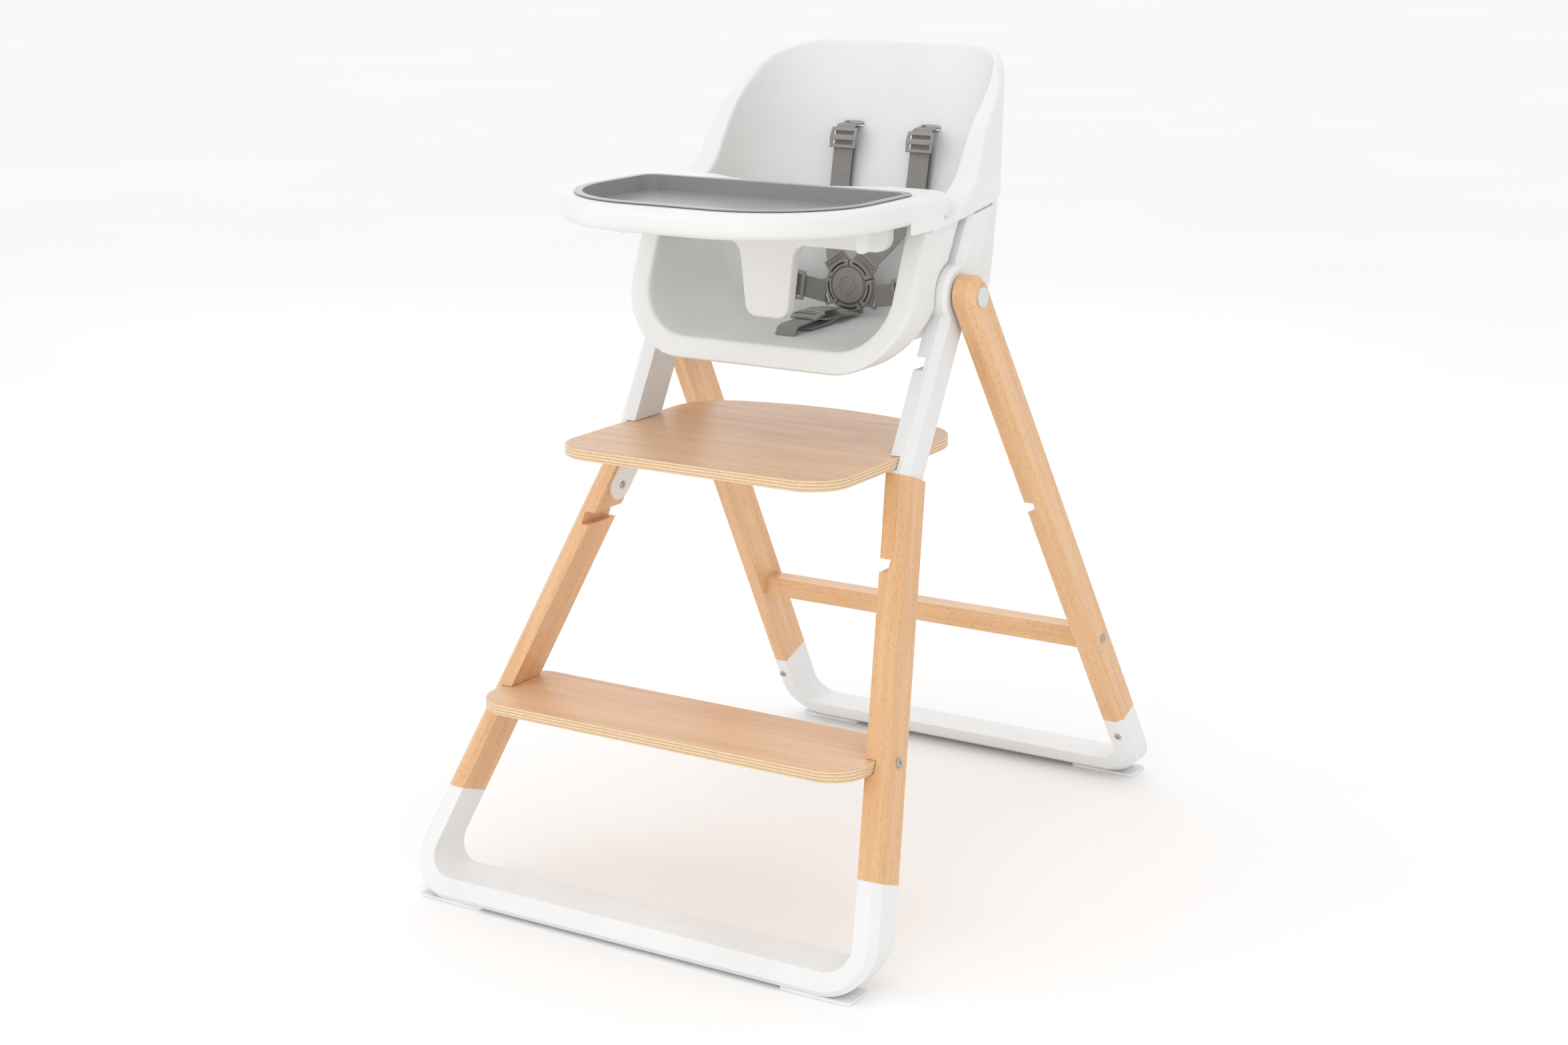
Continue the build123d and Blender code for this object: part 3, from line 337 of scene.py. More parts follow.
@dataclass(frozen=True)
class Plywood:
    """Veneered board: calm face grain across the chair and bare plies round the edge."""

    name: str
    top: float
    thickness: float
    plies: int = 7
    slot: str = "plywood"
    light: Colour = (0.735, 0.465, 0.27)
    dark: Colour = (0.665, 0.395, 0.215)
    edge_light: Colour = (0.80, 0.60, 0.385)
    edge_dark: Colour = (0.56, 0.335, 0.165)
    grain_scale: float = 120.0
    band_scale: float = 16.0
    pore_scale: float = 1100.0
    end_grain_scale: float = 900.0
    grain_stretch: float = 0.05
    pore_stretch: float = 0.2
    edge_stretch: float = 0.25
    edge_wobble: float = 0.5 * MM
    grain_relief: float = 0.05 * MM
    pore_relief: float = -0.04 * MM
    ply_relief: float = 0.12 * MM

    def material(self) -> bpy.types.Material:
        """Builds the material.

        Returns:
            The material.
        """
        g = Graph(self.name)
        place = g.coordinates.outputs["Object"]
        warped = g.warped(g.stretched(place, (self.grain_stretch, 1.0, 1.0)), 5.0, 2.0, 0.09)
        grain = g.noise(self.grain_scale, 3.0, warped)
        both = g.mean(grain, g.noise(self.band_scale, 2.0, warped))
        face = g.blend(g.spread(both, 0.0, 1.0, 0.38, 0.62), opaque(self.dark), opaque(self.light))
        flecks = g.stretched(place, (self.pore_stretch, 1.0, 1.0))
        pore = g.spread(g.noise(self.pore_scale, 0.0, flecks), 0.0, 1.0, 0.65, 0.72)
        face = g.blend(g.math("MULTIPLY", pore, 0.35), face, opaque(self.dark, 0.66))
        # the plies: layers at right angles to the board's thickness, with a slight wobble
        height = g.add("SeparateXYZ", Vector=place).outputs["Z"]
        wobble = g.math("MULTIPLY", g.math("SUBTRACT", g.noise(60.0, 1.0), 0.5), self.edge_wobble)
        lift = g.math("SUBTRACT", g.math("ADD", height, wobble), self.top - self.thickness)
        depth = g.math("DIVIDE", lift, self.thickness)
        wave = g.math("SINE", g.math("MULTIPLY", depth, self.plies * math.pi))
        layer = g.spread(wave, 0.0, 1.0, -0.9, -0.35)
        end_grain = g.stretched(place, (self.edge_stretch, self.edge_stretch, 1.0))
        streak = g.spread(g.noise(self.end_grain_scale, 1.0, end_grain), 0.86, 1.08)
        edge = g.shaded(g.blend(layer, opaque(self.edge_dark), opaque(self.edge_light)), streak, 0.6)
        upright = g.add("SeparateXYZ", Vector=g.coordinates.outputs["Normal"]).outputs["Z"]
        flat = g.spread(g.math("ABSOLUTE", upright), 0.0, 1.0, 0.72, 0.9)
        roughness = g.spread(grain, 0.44, 0.33)
        skin = g.bump(pore, self.pore_relief, g.bump(grain, self.grain_relief))
        relief = g.bump(layer, self.ply_relief, skin)
        g.layer("Coat", 0.15, 0.3)
        return g.finish(g.blend(flat, edge, face), roughness, relief)


@dataclass(frozen=True)
class Webbing:
    """Woven polyester tape; reads each strap's own place across and along it."""

    name: str = "webbing_weave"
    slot: str = "webbing"
    light: Colour = (0.47, 0.455, 0.437)
    dark: Colour = (0.21, 0.20, 0.193)
    weft_pitch: float = 0.0024
    warp_pitch: float = 0.0021
    thread_relief: float = 0.5 * MM

    def material(self) -> bpy.types.Material:
        """Builds the material.

        Returns:
            The material.
        """
        g = Graph(self.name)
        place = g.add("Attribute", attribute_name="strap").outputs["Vector"]
        axes = g.add("SeparateXYZ", Vector=place)
        across, along = axes.outputs["X"], axes.outputs["Y"]
        column = g.math("MULTIPLY", across, 2 * math.pi / self.warp_pitch)
        step = g.math("MULTIPLY", g.math("SIGN", g.math("SINE", column)), math.pi / 2)
        rib = g.math("SINE", g.math("ADD", g.math("MULTIPLY", along, 2 * math.pi / self.weft_pitch), step))
        thread = g.math("ABSOLUTE", g.math("SINE", column))
        weave = g.math("MULTIPLY", g.math("ADD", g.math("MULTIPLY", rib, 0.5), 0.5), thread)
        fuzz = g.spread(g.noise(2400.0, 1.0), 0.85, 1.12)
        tone = g.blend(weave, opaque(self.dark), opaque(self.light))
        g.layer("Sheen", 0.25, 0.5)
        roughness = g.spread(weave, 0.75, 0.58, 0.0, 1.0)
        return g.finish(g.shaded(tone, fuzz, 0.8), roughness, g.bump(weave, self.thread_relief))


@dataclass(frozen=True)
class Zinc:
    """Plated steel with faint turning marks."""

    name: str = "zinc_plate"
    slot: str = "steel"
    colour: Colour = (0.47, 0.46, 0.45)

    def material(self) -> bpy.types.Material:
        """Builds the material.

        Returns:
            The material.
        """
        g = Graph(self.name)
        haze = g.noise(420.0, 3.0)
        colour = g.blend(g.spread(haze, 0.0, 1.0), opaque(self.colour, 0.8), opaque(self.colour, 1.15))
        g.shader.inputs["Metallic"].default_value = 1.0
        return g.finish(colour, g.spread(haze, 0.28, 0.45), g.bump(g.noise(1800.0, 1.0), 0.00002))


@dataclass(frozen=True)
class Rubber:
    """Matt elastomer with a pebbled skin."""

    name: str = "pad_rubber"
    slot: str = "pad_rubber"
    colour: Colour = (0.82, 0.82, 0.81)

    def material(self) -> bpy.types.Material:
        """Builds the material.

        Returns:
            The material.
        """
        g = Graph(self.name)
        pebble = g.noise(900.0, 2.0)
        patches = g.spread(g.noise(30.0, 2.0), 0.0, 1.0)
        colour = g.blend(patches, opaque(self.colour, 0.92), opaque(self.colour, 1.05))
        return g.finish(colour, g.spread(pebble, 0.62, 0.8), g.bump(pebble, 0.0001))


Finish = Plastic | Beech | Plywood | Webbing | Zinc | Rubber
_made: dict[str, bpy.types.Material] = {}


def coated(finish: Finish) -> bpy.types.Material:
    """Material of a finish, made once.

    Args:
        finish: the finish.

    Returns:
        Its material.
    """
    if finish.name not in _made:
        _made[finish.name] = finish.material()
    return _made[finish.name]


FRAME_WHITE = Plastic("frame_white", "frame_plastic", (0.78, 0.785, 0.785), 0.36)
SEAT_WHITE = Plastic("seat_white", "seat_plastic", (0.785, 0.785, 0.772), 0.40)
LINER_GREY = Plastic("liner_grey", "liner_plastic", (0.31, 0.31, 0.318), 0.30, grain=900.0,
                     grain_depth=0.000004, coat=0.15, ripple=0.00001, smears=0.02)
BUCKLE_GREY = Plastic("buckle_grey", "buckle_plastic", (0.285, 0.268, 0.262), 0.34, grain=1900.0)
CAP_WHITE = Plastic("cap_pale", "cap_plastic", (0.66, 0.665, 0.675), 0.33)
WEBBING = Webbing()
ZINC = Zinc()
RUBBER = Rubber()


# ---------------------------------------------------------------- mesh making
def piece(name: str, vertices: Sequence[Vector], faces: Sequence[Sequence[int]], finish: Finish,
          body: Body) -> bpy.types.Object:
    """Makes a mesh piece in the row frame, finishes it and lets it ride on a body.

    Args:
        name: name of the piece.
        vertices: points in metres.
        faces: lists of vertex indices.
        finish: its finish.
        body: the body that it moves with.

    Returns:
        The new object.
    """
    mesh = bpy.data.meshes.new(name)
    mesh.from_pydata([tuple(v) for v in vertices], [], [list(f) for f in faces])
    work = bmesh.new()
    work.from_mesh(mesh)
    bmesh.ops.recalc_face_normals(work, faces=work.faces)
    work.to_mesh(mesh)
    work.free()
    mesh.update()
    for polygon in mesh.polygons:
        polygon.use_smooth = True
    thing = bpy.data.objects.new(name, mesh)
    bpy.context.scene.collection.objects.link(thing)
    mesh.materials.append(coated(finish))
    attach(thing, body.value)
    LOG.info("piece %s on %s", name, body.value)
    return thing


def rounded(thing: bpy.types.Object, width: float, segments: int = 2,
            angle: float = 30.0) -> bpy.types.Object:
    """Softens a piece's sharp edges.

    Args:
        thing: the piece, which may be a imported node.
        width: width of the rounding in metres.
        segments: facets across the rounding.
        angle: edges that turn by more than this many degrees are rounded.

    Returns:
        The same piece.
    """
    edge = thing.modifiers.new("edge", "BEVEL")
    edge.width = width
    edge.segments = segments
    edge.limit_method = "ANGLE"
    edge.angle_limit = math.radians(angle)
    edge.use_clamp_overlap = True
    edge.harden_normals = False
    level = thing.modifiers.new("level", "WEIGHTED_NORMAL")
    level.keep_sharp = False
    return thing


def dress(node: str, finish: Finish, rounding: float = 0.0, segments: int = 2) -> bpy.types.Object:
    """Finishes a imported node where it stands.

    Args:
        node: name of the node.
        finish: its finish.
        rounding: width of the rounding of its edges in metres, or none.
        segments: facets across the rounding.

    Returns:
        The node's object.
    """
    thing = bpy.data.objects[node]
    thing.data.materials.clear()
    thing.data.materials.append(coated(finish))
    if rounding:
        custom = thing.data.attributes.get("custom_normal")
        if custom is not None:
            thing.data.attributes.remove(custom)
        for polygon in thing.data.polygons:
            polygon.use_smooth = True
        weld = thing.modifiers.new("weld", "WELD")
        weld.merge_threshold = WELD_DISTANCE
        flat = thing.modifiers.new("flat", "DECIMATE")
        flat.decimate_type = "DISSOLVE"
        flat.angle_limit = math.radians(FLAT_LIMIT)
        rounded(thing, rounding, segments)
    LOG.info("node %s dressed in %s", node, finish.name)
    return thing


def softened(name: str, node: str, finish: Finish, body: Body, voxel: float,
             passes: int) -> bpy.types.Object:
    """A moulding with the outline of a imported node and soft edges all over; it stands for that node.

    Args:
        name: name of the new piece.
        node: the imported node.
        finish: its finish.
        body: the body that it moves with.
        voxel: size of the mesh's cells in metres.
        passes: how many times the surface is smoothed.

    Returns:
        The new piece.
    """
    source = bpy.data.objects[node]
    thing = bpy.data.objects.new(name, source.data.copy())
    bpy.context.scene.collection.objects.link(thing)
    grid = thing.modifiers.new("grid", "REMESH")
    grid.mode = "VOXEL"
    grid.voxel_size = voxel
    ease = thing.modifiers.new("ease", "SMOOTH")
    ease.factor = 0.5
    ease.iterations = passes
    bpy.context.view_layer.update()
    graph = bpy.context.evaluated_depsgraph_get()
    mesh = bpy.data.meshes.new_from_object(thing.evaluated_get(graph))
    thing.modifiers.clear()
    thing.data = mesh
    mesh.materials.clear()
    mesh.materials.append(coated(finish))
    for polygon in mesh.polygons:
        polygon.use_smooth = True
    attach(thing, body.value)
    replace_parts(thing, node)
    LOG.info("moulding %s on %s, %d faces", name, body.value, len(mesh.polygons))
    return thing


def square_to(axis: Vector, hint: Vector = X_AXIS) -> Matrix:
    """Rotation that stands a piece on an axis.

    Args:
        axis: direction of the third column.
        hint: direction that the first column lies near.

    Returns:
        The rotation.
    """
    third = axis.normalized()
    first = (hint - third * hint.dot(third)).normalized()
    second = third.cross(first)
    return Matrix((first, second, third)).transposed()


def turned(centre: Vector, axis: Vector, profile: Sequence[tuple[float, float]], sides: int = 48,
           shape: Optional[Callable[[int, float], float]] = None) -> tuple[list[Vector], list[list[int]]]:
    """Points and faces of a turned piece.

    Args:
        centre: point on the axis where the profile's height is zero.
        axis: direction of increasing height.
        profile: (radius, height) pairs in metres, from the outside in.
        sides: facets round the axis.
        shape: factor on the radius for a profile index and an angle, or none for round.

    Returns:
        The vertices and the faces.
    """
    turn = square_to(axis)
    vertices = []
    faces = []
    for row, (radius, height) in enumerate(profile):
        for step in range(sides):
            angle = 2 * math.pi * step / sides
            size = radius * (shape(row, angle) if shape else 1.0)
            vertices.append(centre + turn @ Vector((size * math.cos(angle), size * math.sin(angle), height)))
    for row in range(len(profile) - 1):
        for step in range(sides):
            after = (step + 1) % sides
            faces.append([row * sides + step, row * sides + after,
                          (row + 1) * sides + after, (row + 1) * sides + step])
    faces.append(list(range(sides)))
    faces.append([(len(profile) - 1) * sides + step for step in range(sides)])
    return vertices, faces


def joined(parts: Sequence[tuple[Sequence[Vector], Sequence[Sequence[int]]]]
           ) -> tuple[list[Vector], list[list[int]]]:
    """Several point and face lists as one.

    Args:
        parts: pairs of vertices and faces.

    Returns:
        The vertices and the faces.
    """
    vertices: list[Vector] = []
    faces: list[list[int]] = []
    for points, cells in parts:
        start = len(vertices)
        vertices.extend(points)
        faces.extend([[start + index for index in cell] for cell in cells])
    return vertices, faces


def plate(columns: Sequence[float], rows: Sequence[float], gaps: Sequence[tuple[int, int]],
          place: Callable[[float, float, float], Vector], low: float,
          high: float) -> tuple[list[Vector], list[list[int]]]:
    """Plate made of cells, some left open as windows.

    Args:
        columns: limits of the cells along the first direction.
        rows: limits of the cells along the second.
        gaps: (column, row) indices of the open cells.
        place: turns the three local coordinates into a point.
        low: third coordinate of the underside.
        high: third coordinate of the top.

    Returns:
        The vertices and the faces.
    """
    wide = len(columns)
    count = wide * len(rows)
    vertices = [place(x, y, z) for z in (low, high) for y in rows for x in columns]
    cells = {(i, j) for i in range(wide - 1) for j in range(len(rows) - 1)} - set(gaps)
    faces = []
    for i, j in sorted(cells):
        corners = [j * wide + i, j * wide + i + 1, (j + 1) * wide + i + 1, (j + 1) * wide + i]
        faces.append(corners[::-1])
        faces.append([count + corner for corner in corners])
        for side, (di, dj) in enumerate(((0, -1), (1, 0), (0, 1), (-1, 0))):
            if (i + di, j + dj) not in cells:
                first, second = corners[side], corners[(side + 1) % 4]
                faces.append([first, second, count + second, count + first])
    return vertices, faces


def eased(points: Sequence[Vector], passes: int = 3) -> list[Vector]:
    """Cuts the corners of a line of points until it is smooth; its ends stay.

    Args:
        points: the line's points.
        passes: how many times its corners are cut.

    Returns:
        The smooth line.
    """
    line = [Vector(point) for point in points]
    for _ in range(passes):
        cut = [line[0]]
        for first, second in zip(line[:-1], line[1:]):
            cut.append(first.lerp(second, 0.25))
            cut.append(first.lerp(second, 0.75))
        cut.append(line[-1])
        line = cut
    return line


@dataclass
class Tape:
    """A length of webbing along a route."""

    name: str
    points: Sequence[Vector]
    across: Sequence[Vector]
    width: float = 25 * MM
    thickness: float = 1.7 * MM
    # half of its section: shares of half the width, and of half the thickness there
    shares: tuple[float, ...] = (-1.0, -0.96, -0.8, -0.4, 0.0, 0.4, 0.8, 0.96, 1.0)
    heights: tuple[float, ...] = (0.55, 1.0, 0.86, 0.9, 0.92, 0.9, 0.86, 1.0, 0.55)

    def build(self, body: Body) -> bpy.types.Object:
        """Makes the strap with soft selvedges and stores its weave's coordinates.

        Args:
            body: the body that it moves with.

        Returns:
            The strap.
        """
        line = eased(self.points)
        sides = eased(self.across)
        loop = list(zip(self.shares, self.heights))
        loop += [(share, -height) for share, height in reversed(loop)]
        vertices = []
        places = []
        length = 0.0
        for index, point in enumerate(line):
            ahead = line[min(index + 1, len(line) - 1)] - line[max(index - 1, 0)]
            ahead.normalize()
            side = sides[index]
            side = (side - ahead * side.dot(ahead)).normalized()
            normal = ahead.cross(side)
            if index:
                length += (point - line[index - 1]).length
            for share, height in loop:
                vertices.append(point + side * share * self.width / 2 + normal * height * self.thickness / 2)
                places.append((share * self.width / 2, length, 0.0))
        around = len(loop)
        faces = []
        for row in range(len(line) - 1):
            for step in range(around):
                after = (step + 1) % around
                faces.append([row * around + step, row * around + after,
                              (row + 1) * around + after, (row + 1) * around + step])
        faces.append(list(range(around)))
        faces.append([(len(line) - 1) * around + step for step in range(around)])
        strap = piece(self.name, vertices, faces, WEBBING, body)
        weave = strap.data.attributes.new("strap", "FLOAT_VECTOR", "POINT")
        for index, place in enumerate(places):
            weave.data[index].vector = place
        return strap


# ---------------------------------------------------------------- frames
def run_of(node: str) -> Vector:
    """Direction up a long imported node, from the middle of its foot to the middle of its top.

    Args:
        node: name of the node.

    Returns:
        The direction.
    """
    points = sorted((v.co.copy() for v in bpy.data.objects[node].data.vertices), key=lambda p: p.z)
    share = max(4, len(points) // 12)
    low = sum(points[:share], Vector()) / share
    high = sum(points[-share:], Vector()) / share
    return (high - low).normalized()


def outermost(node: str, side: Side, outward: Vector) -> Vector:
    """Middle of the face of a packed fastener that lies furthest outward on one side.

    Args:
        node: name of the node.
        side: the side it is on.
        outward: direction that its head faces.

    Returns:
        The middle of that face.
    """
    points = [v.co.copy() for v in bpy.data.objects[node].data.vertices if v.co.x * side.value > 0]
    reach = max(point.dot(outward) for point in points)
    face = [point for point in points if point.dot(outward) > reach - FACE_DEPTH]
    low = Vector([min(point[i] for point in face) for i in range(3)])
    high = Vector([max(point[i] for point in face) for i in range(3)])
    return (low + high) / 2


def middle_of(node: str) -> Vector:
    """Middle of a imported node's box."""
    low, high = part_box(node)
    return (low + high) / 2


@dataclass
class Fasteners:
    """A pair of screws or bolts, one on each side, with hexagon sockets."""

    node: str
    outward: Vector
    body: Body
    kind: Head
    head_height: float = 2 * MM
    # (radius, height) pairs as shares of the head's sizes, then of the socket's radius and the head's height
    dome: tuple[tuple[float, float], ...] = (
        (0.9, -2.2), (0.9, -1.0), (1.0, -1.0), (1.0, -0.55), (0.93, -0.2), (0.78, -0.02))
    socket: tuple[tuple[float, float], ...] = ((1.25, 0.0), (1.1, -0.05), (1.0, -0.2), (1.0, -0.8))

    def head(self, side: Side) -> tuple[list[Vector], list[list[int]]]:
        """Points and faces of one head.

        Args:
            side: the side it is on.

        Returns:
            The vertices and the faces.
        """
        outward = Vector((self.outward.x * side.value, self.outward.y, self.outward.z)).normalized()
        top = outermost(self.node, side, outward)
        head_radius, socket_radius = self.kind.value
        profile = [(head_radius * width, self.head_height * height) for width, height in self.dome]
        profile += [(socket_radius * width, self.head_height * height) for width, height in self.socket]

        def hexagon(row: int, angle: float) -> float:
            """Makes the socket six-sided below its rim.

            Args:
                row: index in the profile.
                angle: angle round the axis in radians.

            Returns:
                The factor on the radius.
            """
            if row <= len(self.dome):
                return 1.0
            sector = math.pi / 3
            return math.cos(sector / 2) / math.cos(angle % sector - sector / 2)

        return turned(top, outward, profile, shape=hexagon)

    def build(self) -> bpy.types.Object:
        """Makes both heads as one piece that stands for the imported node.

        Returns:
            The heads.
        """
        vertices, faces = joined([self.head(side) for side in Side])
        heads = piece(self.node + "_heads", vertices, faces, ZINC, self.body)
        rounded(heads, 0.15 * MM, 1, 40)
        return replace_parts(heads, self.node)


@dataclass
class FrontFrame:
    """White front foot and arms, beech front legs, the footrest and the upper panel."""

    bar_rounding: float = 1.6 * MM
    leg_rounding: float = 1.8 * MM
    pad_rounding: float = 0.8 * MM
    panel_thickness: float = 12 * MM

    def build(self) -> None:
        """Dresses the frame and makes its fasteners."""
        dress("front_foot_bar", FRAME_WHITE, self.bar_rounding, 3)
        for side in Side:
            run = run_of(side.node("front_leg"))
            dress(side.node("front_leg"), Beech(side.node("beech_front"), tuple(run)), self.leg_rounding, 3)
            dress(side.node("front_arm"), FRAME_WHITE, self.bar_rounding, 3)
            dress(side.node("front_foot_pad"), RUBBER, self.pad_rounding)
        self.panels()
        run = run_of("front_leg_right")
        back = Vector((0.0, run.z, -run.y)).normalized()
        outward = Vector((run.z, 0.0, -run.x)).normalized()
        Fasteners("footrest_bolts", outward, Body.FRONT, Head.BOLT).build()
        Fasteners("arm_screws", -outward, Body.FRONT, Head.SCREW).build()
        Fasteners("front_sleeve_screws", back, Body.FRONT, Head.SCREW).build()

    def panels(self) -> None:
        """Finishes the two plywood panels."""
        for node in ("footrest_panel", "upper_panel"):
            dress(node, Plywood(node + "_ply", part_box(node)[1].z, self.panel_thickness))


@dataclass
class RearFrame:
    """White rear foot, beech rear legs and rail, and the hinge."""

    bar_rounding: float = 1.6 * MM
    leg_rounding: float = 1.8 * MM
    pad_rounding: float = 0.8 * MM

    def build(self) -> None:
        """Dresses the frame and makes its fasteners."""
        dress("rear_foot_bar", FRAME_WHITE, self.bar_rounding, 3)
        for side in Side:
            run = run_of(side.node("rear_leg"))
            dress(side.node("rear_leg"), Beech(side.node("beech_rear"), tuple(run)), self.leg_rounding, 3)
            dress(side.node("rear_foot_pad"), RUBBER, self.pad_rounding)
            dress(side.node("pivot_cap"), CAP_WHITE)
            dress(side.node("pivot_pin"), ZINC)
            dress(side.node("pivot_washer"), ZINC)
        dress("rear_rail", Beech("beech_rail", (1.0, 0.0, 0.0)))
        run = run_of("rear_leg_right")
        outward = Vector((run.z, 0.0, -run.x)).normalized()
        front = Vector((0.0, -run.z, run.y)).normalized()
        Fasteners("rail_bolts", outward, Body.REAR, Head.BOLT).build()
        Fasteners("rear_sleeve_screws", front, Body.REAR, Head.SCREW).build()


# ---------------------------------------------------------------- seat and tray
@dataclass
class Seat:
    """Moulded seat and the pins that hold it."""

    voxel: float = 2.2 * MM
    passes: int = 9

    def build(self) -> None:
        """Makes the moulding and finishes the pins."""
        softened("seat_moulding", "seat_shell", SEAT_WHITE, Body.FRONT, self.voxel, self.passes)
        dress("seat_pins", ZINC)


@dataclass
class Tray:
    """Tray, its grey liner, the crotch post and the release levers."""

    shell_rounding: float = 0.6 * MM
    liner_rounding: float = 0.7 * MM
    runner_rounding: float = 0.5 * MM
    post_voxel: float = 1.5 * MM
    post_passes: int = 10
    lever_voxel: float = 0.7 * MM
    lever_passes: int = 5

    def build(self) -> None:
        """Dresses the tray and makes the mouldings of the post and the levers."""
        dress("tray_shell", SEAT_WHITE, self.shell_rounding)
        dress("tray_insert", LINER_GREY, self.liner_rounding)
        dress("tray_runners", SEAT_WHITE, self.runner_rounding)
        softened("crotch_post_moulding", "crotch_post", SEAT_WHITE, Body.TRAY, self.post_voxel,
                 self.post_passes)
        for side in Side:
            body = Body.LEVER_LEFT if side is Side.LEFT else Body.LEVER_RIGHT
            softened(side.node("lever_moulding"), side.node("tray_lever"), SEAT_WHITE, body,
                     self.lever_voxel, self.lever_passes)


# ---------------------------------------------------------------- harness
@dataclass
class Buckle:
    """Round five-point buckle that faces forward."""

    centre: Vector
    radius: float = 30 * MM
    depth: float = 13 * MM
    hub_radius: float = 21.8 * MM
    button_radius: float = 20.6 * MM
    plate: float = 3 * MM
    slot_inner: float = 25.2 * MM
    slot_outer: float = 27.2 * MM
    segment_half_angle: float = 34.6
    slot_half_angle: float = 24.0
    slot_wall_angle: float = 3.0
    crown: float = 1.2 * MM
    tab_width: float = 30 * MM
    tab_edge: float = 2.5 * MM
    strap_loop: float = 9 * MM
    lower_loop: float = 2 * MM
    facets: int = 72

    def face_point(self, radius: float, angle: float, height: float) -> Vector:
        """Point of the buckle.

        Args:
            radius: distance from its axis.
            angle: angle in degrees.
            height: height above its back, towards the front.

        Returns:
            The point.
        """
        turn = math.radians(angle)
        back = self.centre.y + self.depth / 2
        return Vector((radius * math.cos(turn) + self.centre.x, back - height,
                       radius * math.sin(turn) + self.centre.z))

    def segment(self, angle: float, loop: float) -> tuple[list[Vector], list[list[int]]]:
        """One ring segment with its long slot and the loop that holds a strap.

        Args:
            angle: direction of the segment in degrees.
            loop: reach of its strap loop past the ring, in metres.

        Returns:
            The vertices and the faces.
        """
        radii = (self.hub_radius + 0.5 * MM, self.slot_inner, self.slot_outer, self.radius)
        half, slot = self.segment_half_angle, self.slot_half_angle
        wall = self.slot_wall_angle
        steps = [-half, -slot - wall, -slot, *(slot * k / 4 for k in range(-3, 4)), slot, slot + wall, half]
        open_cells = [(1, row) for row in range(2, len(steps) - 3)]

        def place(radius: float, turn: float, height: float) -> Vector:
            """Point of the ring, whose top is crowned a little.

            Args:
                radius: distance from the buckle's axis.
                turn: angle from the middle of the segment, in degrees.
                height: height above the buckle's back.

            Returns:
                The point.
            """
            share = (radius - self.hub_radius) / (self.radius - self.hub_radius)
            rise = self.crown * (1 - share ** 2) if height > self.plate * 1.5 else 0.0
            return self.face_point(radius, angle + turn, height + rise)

        ring = plate(radii, steps, open_cells, place, self.plate, self.depth - 2.2 * MM)
        if not loop:
            return ring

        def tab_place(along: float, across: float, height: float) -> Vector:
            """Point of the flat tab that runs outward from the ring.

            Args:
                along: distance outward from the buckle's axis.
                across: distance from the tab's middle line.
                height: height above the buckle's back.

            Returns:
                The point.
            """
            turn = math.radians(angle)
            flat = Vector((along * math.cos(turn) - across * math.sin(turn), 0,
                           along * math.sin(turn) + across * math.cos(turn)))
            return Vector((self.centre.x, self.centre.y + self.depth / 2 - height, self.centre.z)) + flat

        start = self.radius - 3 * MM
        half_width, edge = self.tab_width / 2, self.tab_edge
        tab = plate((start, self.radius + loop * 0.3, self.radius + loop * 0.72, self.radius + loop),
                    (-half_width, -half_width + edge, 0.0, half_width - edge, half_width),
                    [(1, 1), (1, 2)], tab_place, self.plate * 1.1, self.plate * 2.3)
        return joined([ring, tab])

    def build(self) -> None:
        """Makes the body, the ring segments and the button."""
        middle = Vector((self.centre.x, self.centre.y + self.depth / 2, self.centre.z))
        self.housing(middle)
        angles = (SHOULDER_ANGLE, 180.0 - SHOULDER_ANGLE, WAIST_ANGLE, 180.0 - WAIST_ANGLE)
        vertices, faces = joined([self.segment(angle, self.strap_loop) for angle in angles])
        segments = piece("buckle_segments", vertices, faces, BUCKLE_GREY, Body.FRONT)
        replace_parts(rounded(segments, 0.45 * MM, 2, 35), "buckle_connectors")
        self.press(middle)

    def housing(self, middle: Vector) -> None:
        """Makes the body: a plate, a hub with a well, and the segment of the crotch strap.

        Args:
            middle: middle of the buckle's back.
        """
        hub = self.hub_radius
        well = self.button_radius + 0.3 * MM
        base = turned(middle, -Y_AXIS, [
            (self.radius - 1.5 * MM, 0.0), (self.radius - 0.6 * MM, 0.6 * MM),
            (self.radius - 0.6 * MM, self.plate * 0.8), (hub, self.plate), (hub, self.depth - 1.2 * MM),
            (hub - 0.5 * MM, self.depth - 0.5 * MM), (well + 0.2 * MM, self.depth - 0.5 * MM),
            (well, self.depth - 1.0 * MM), (well, self.depth - 6 * MM)], self.facets)
        vertices, faces = joined([base, self.segment(-90.0, self.lower_loop)])
        body = piece("buckle_housing", vertices, faces, BUCKLE_GREY, Body.FRONT)
        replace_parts(rounded(body, 0.35 * MM, 2, 35), "buckle_body")

    def press(self, middle: Vector) -> None:
        """Makes the push button, which has two rings turned into its face.

        Args:
            middle: middle of the buckle's back.
        """
        top = self.depth + 0.6 * MM
        radius = self.button_radius
        # (share of the radius, height above the rim of the face) of the rings, from the outside in
        rings = ((0.52, 0.9), (0.50, 0.2), (0.46, 0.2), (0.44, 1.0), (0.30, 1.2), (0.27, 0.6), (0.23, 0.6),
                 (0.20, 1.3), (0.02, 1.4))
        profile = [(radius, self.depth - 3.6 * MM), (radius, top - 1.2 * MM),
                   (radius - 0.4 * MM, top - 0.5 * MM), (radius - 1.2 * MM, top)]
        profile += [(radius * share, top + height * MM) for share, height in rings]
        vertices, faces = turned(middle, -Y_AXIS, profile, self.facets)
        button = piece("buckle_press", vertices, faces, BUCKLE_GREY, Body.BUTTON)
        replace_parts(rounded(button, 0.12 * MM, 1, 35), "buckle_button")


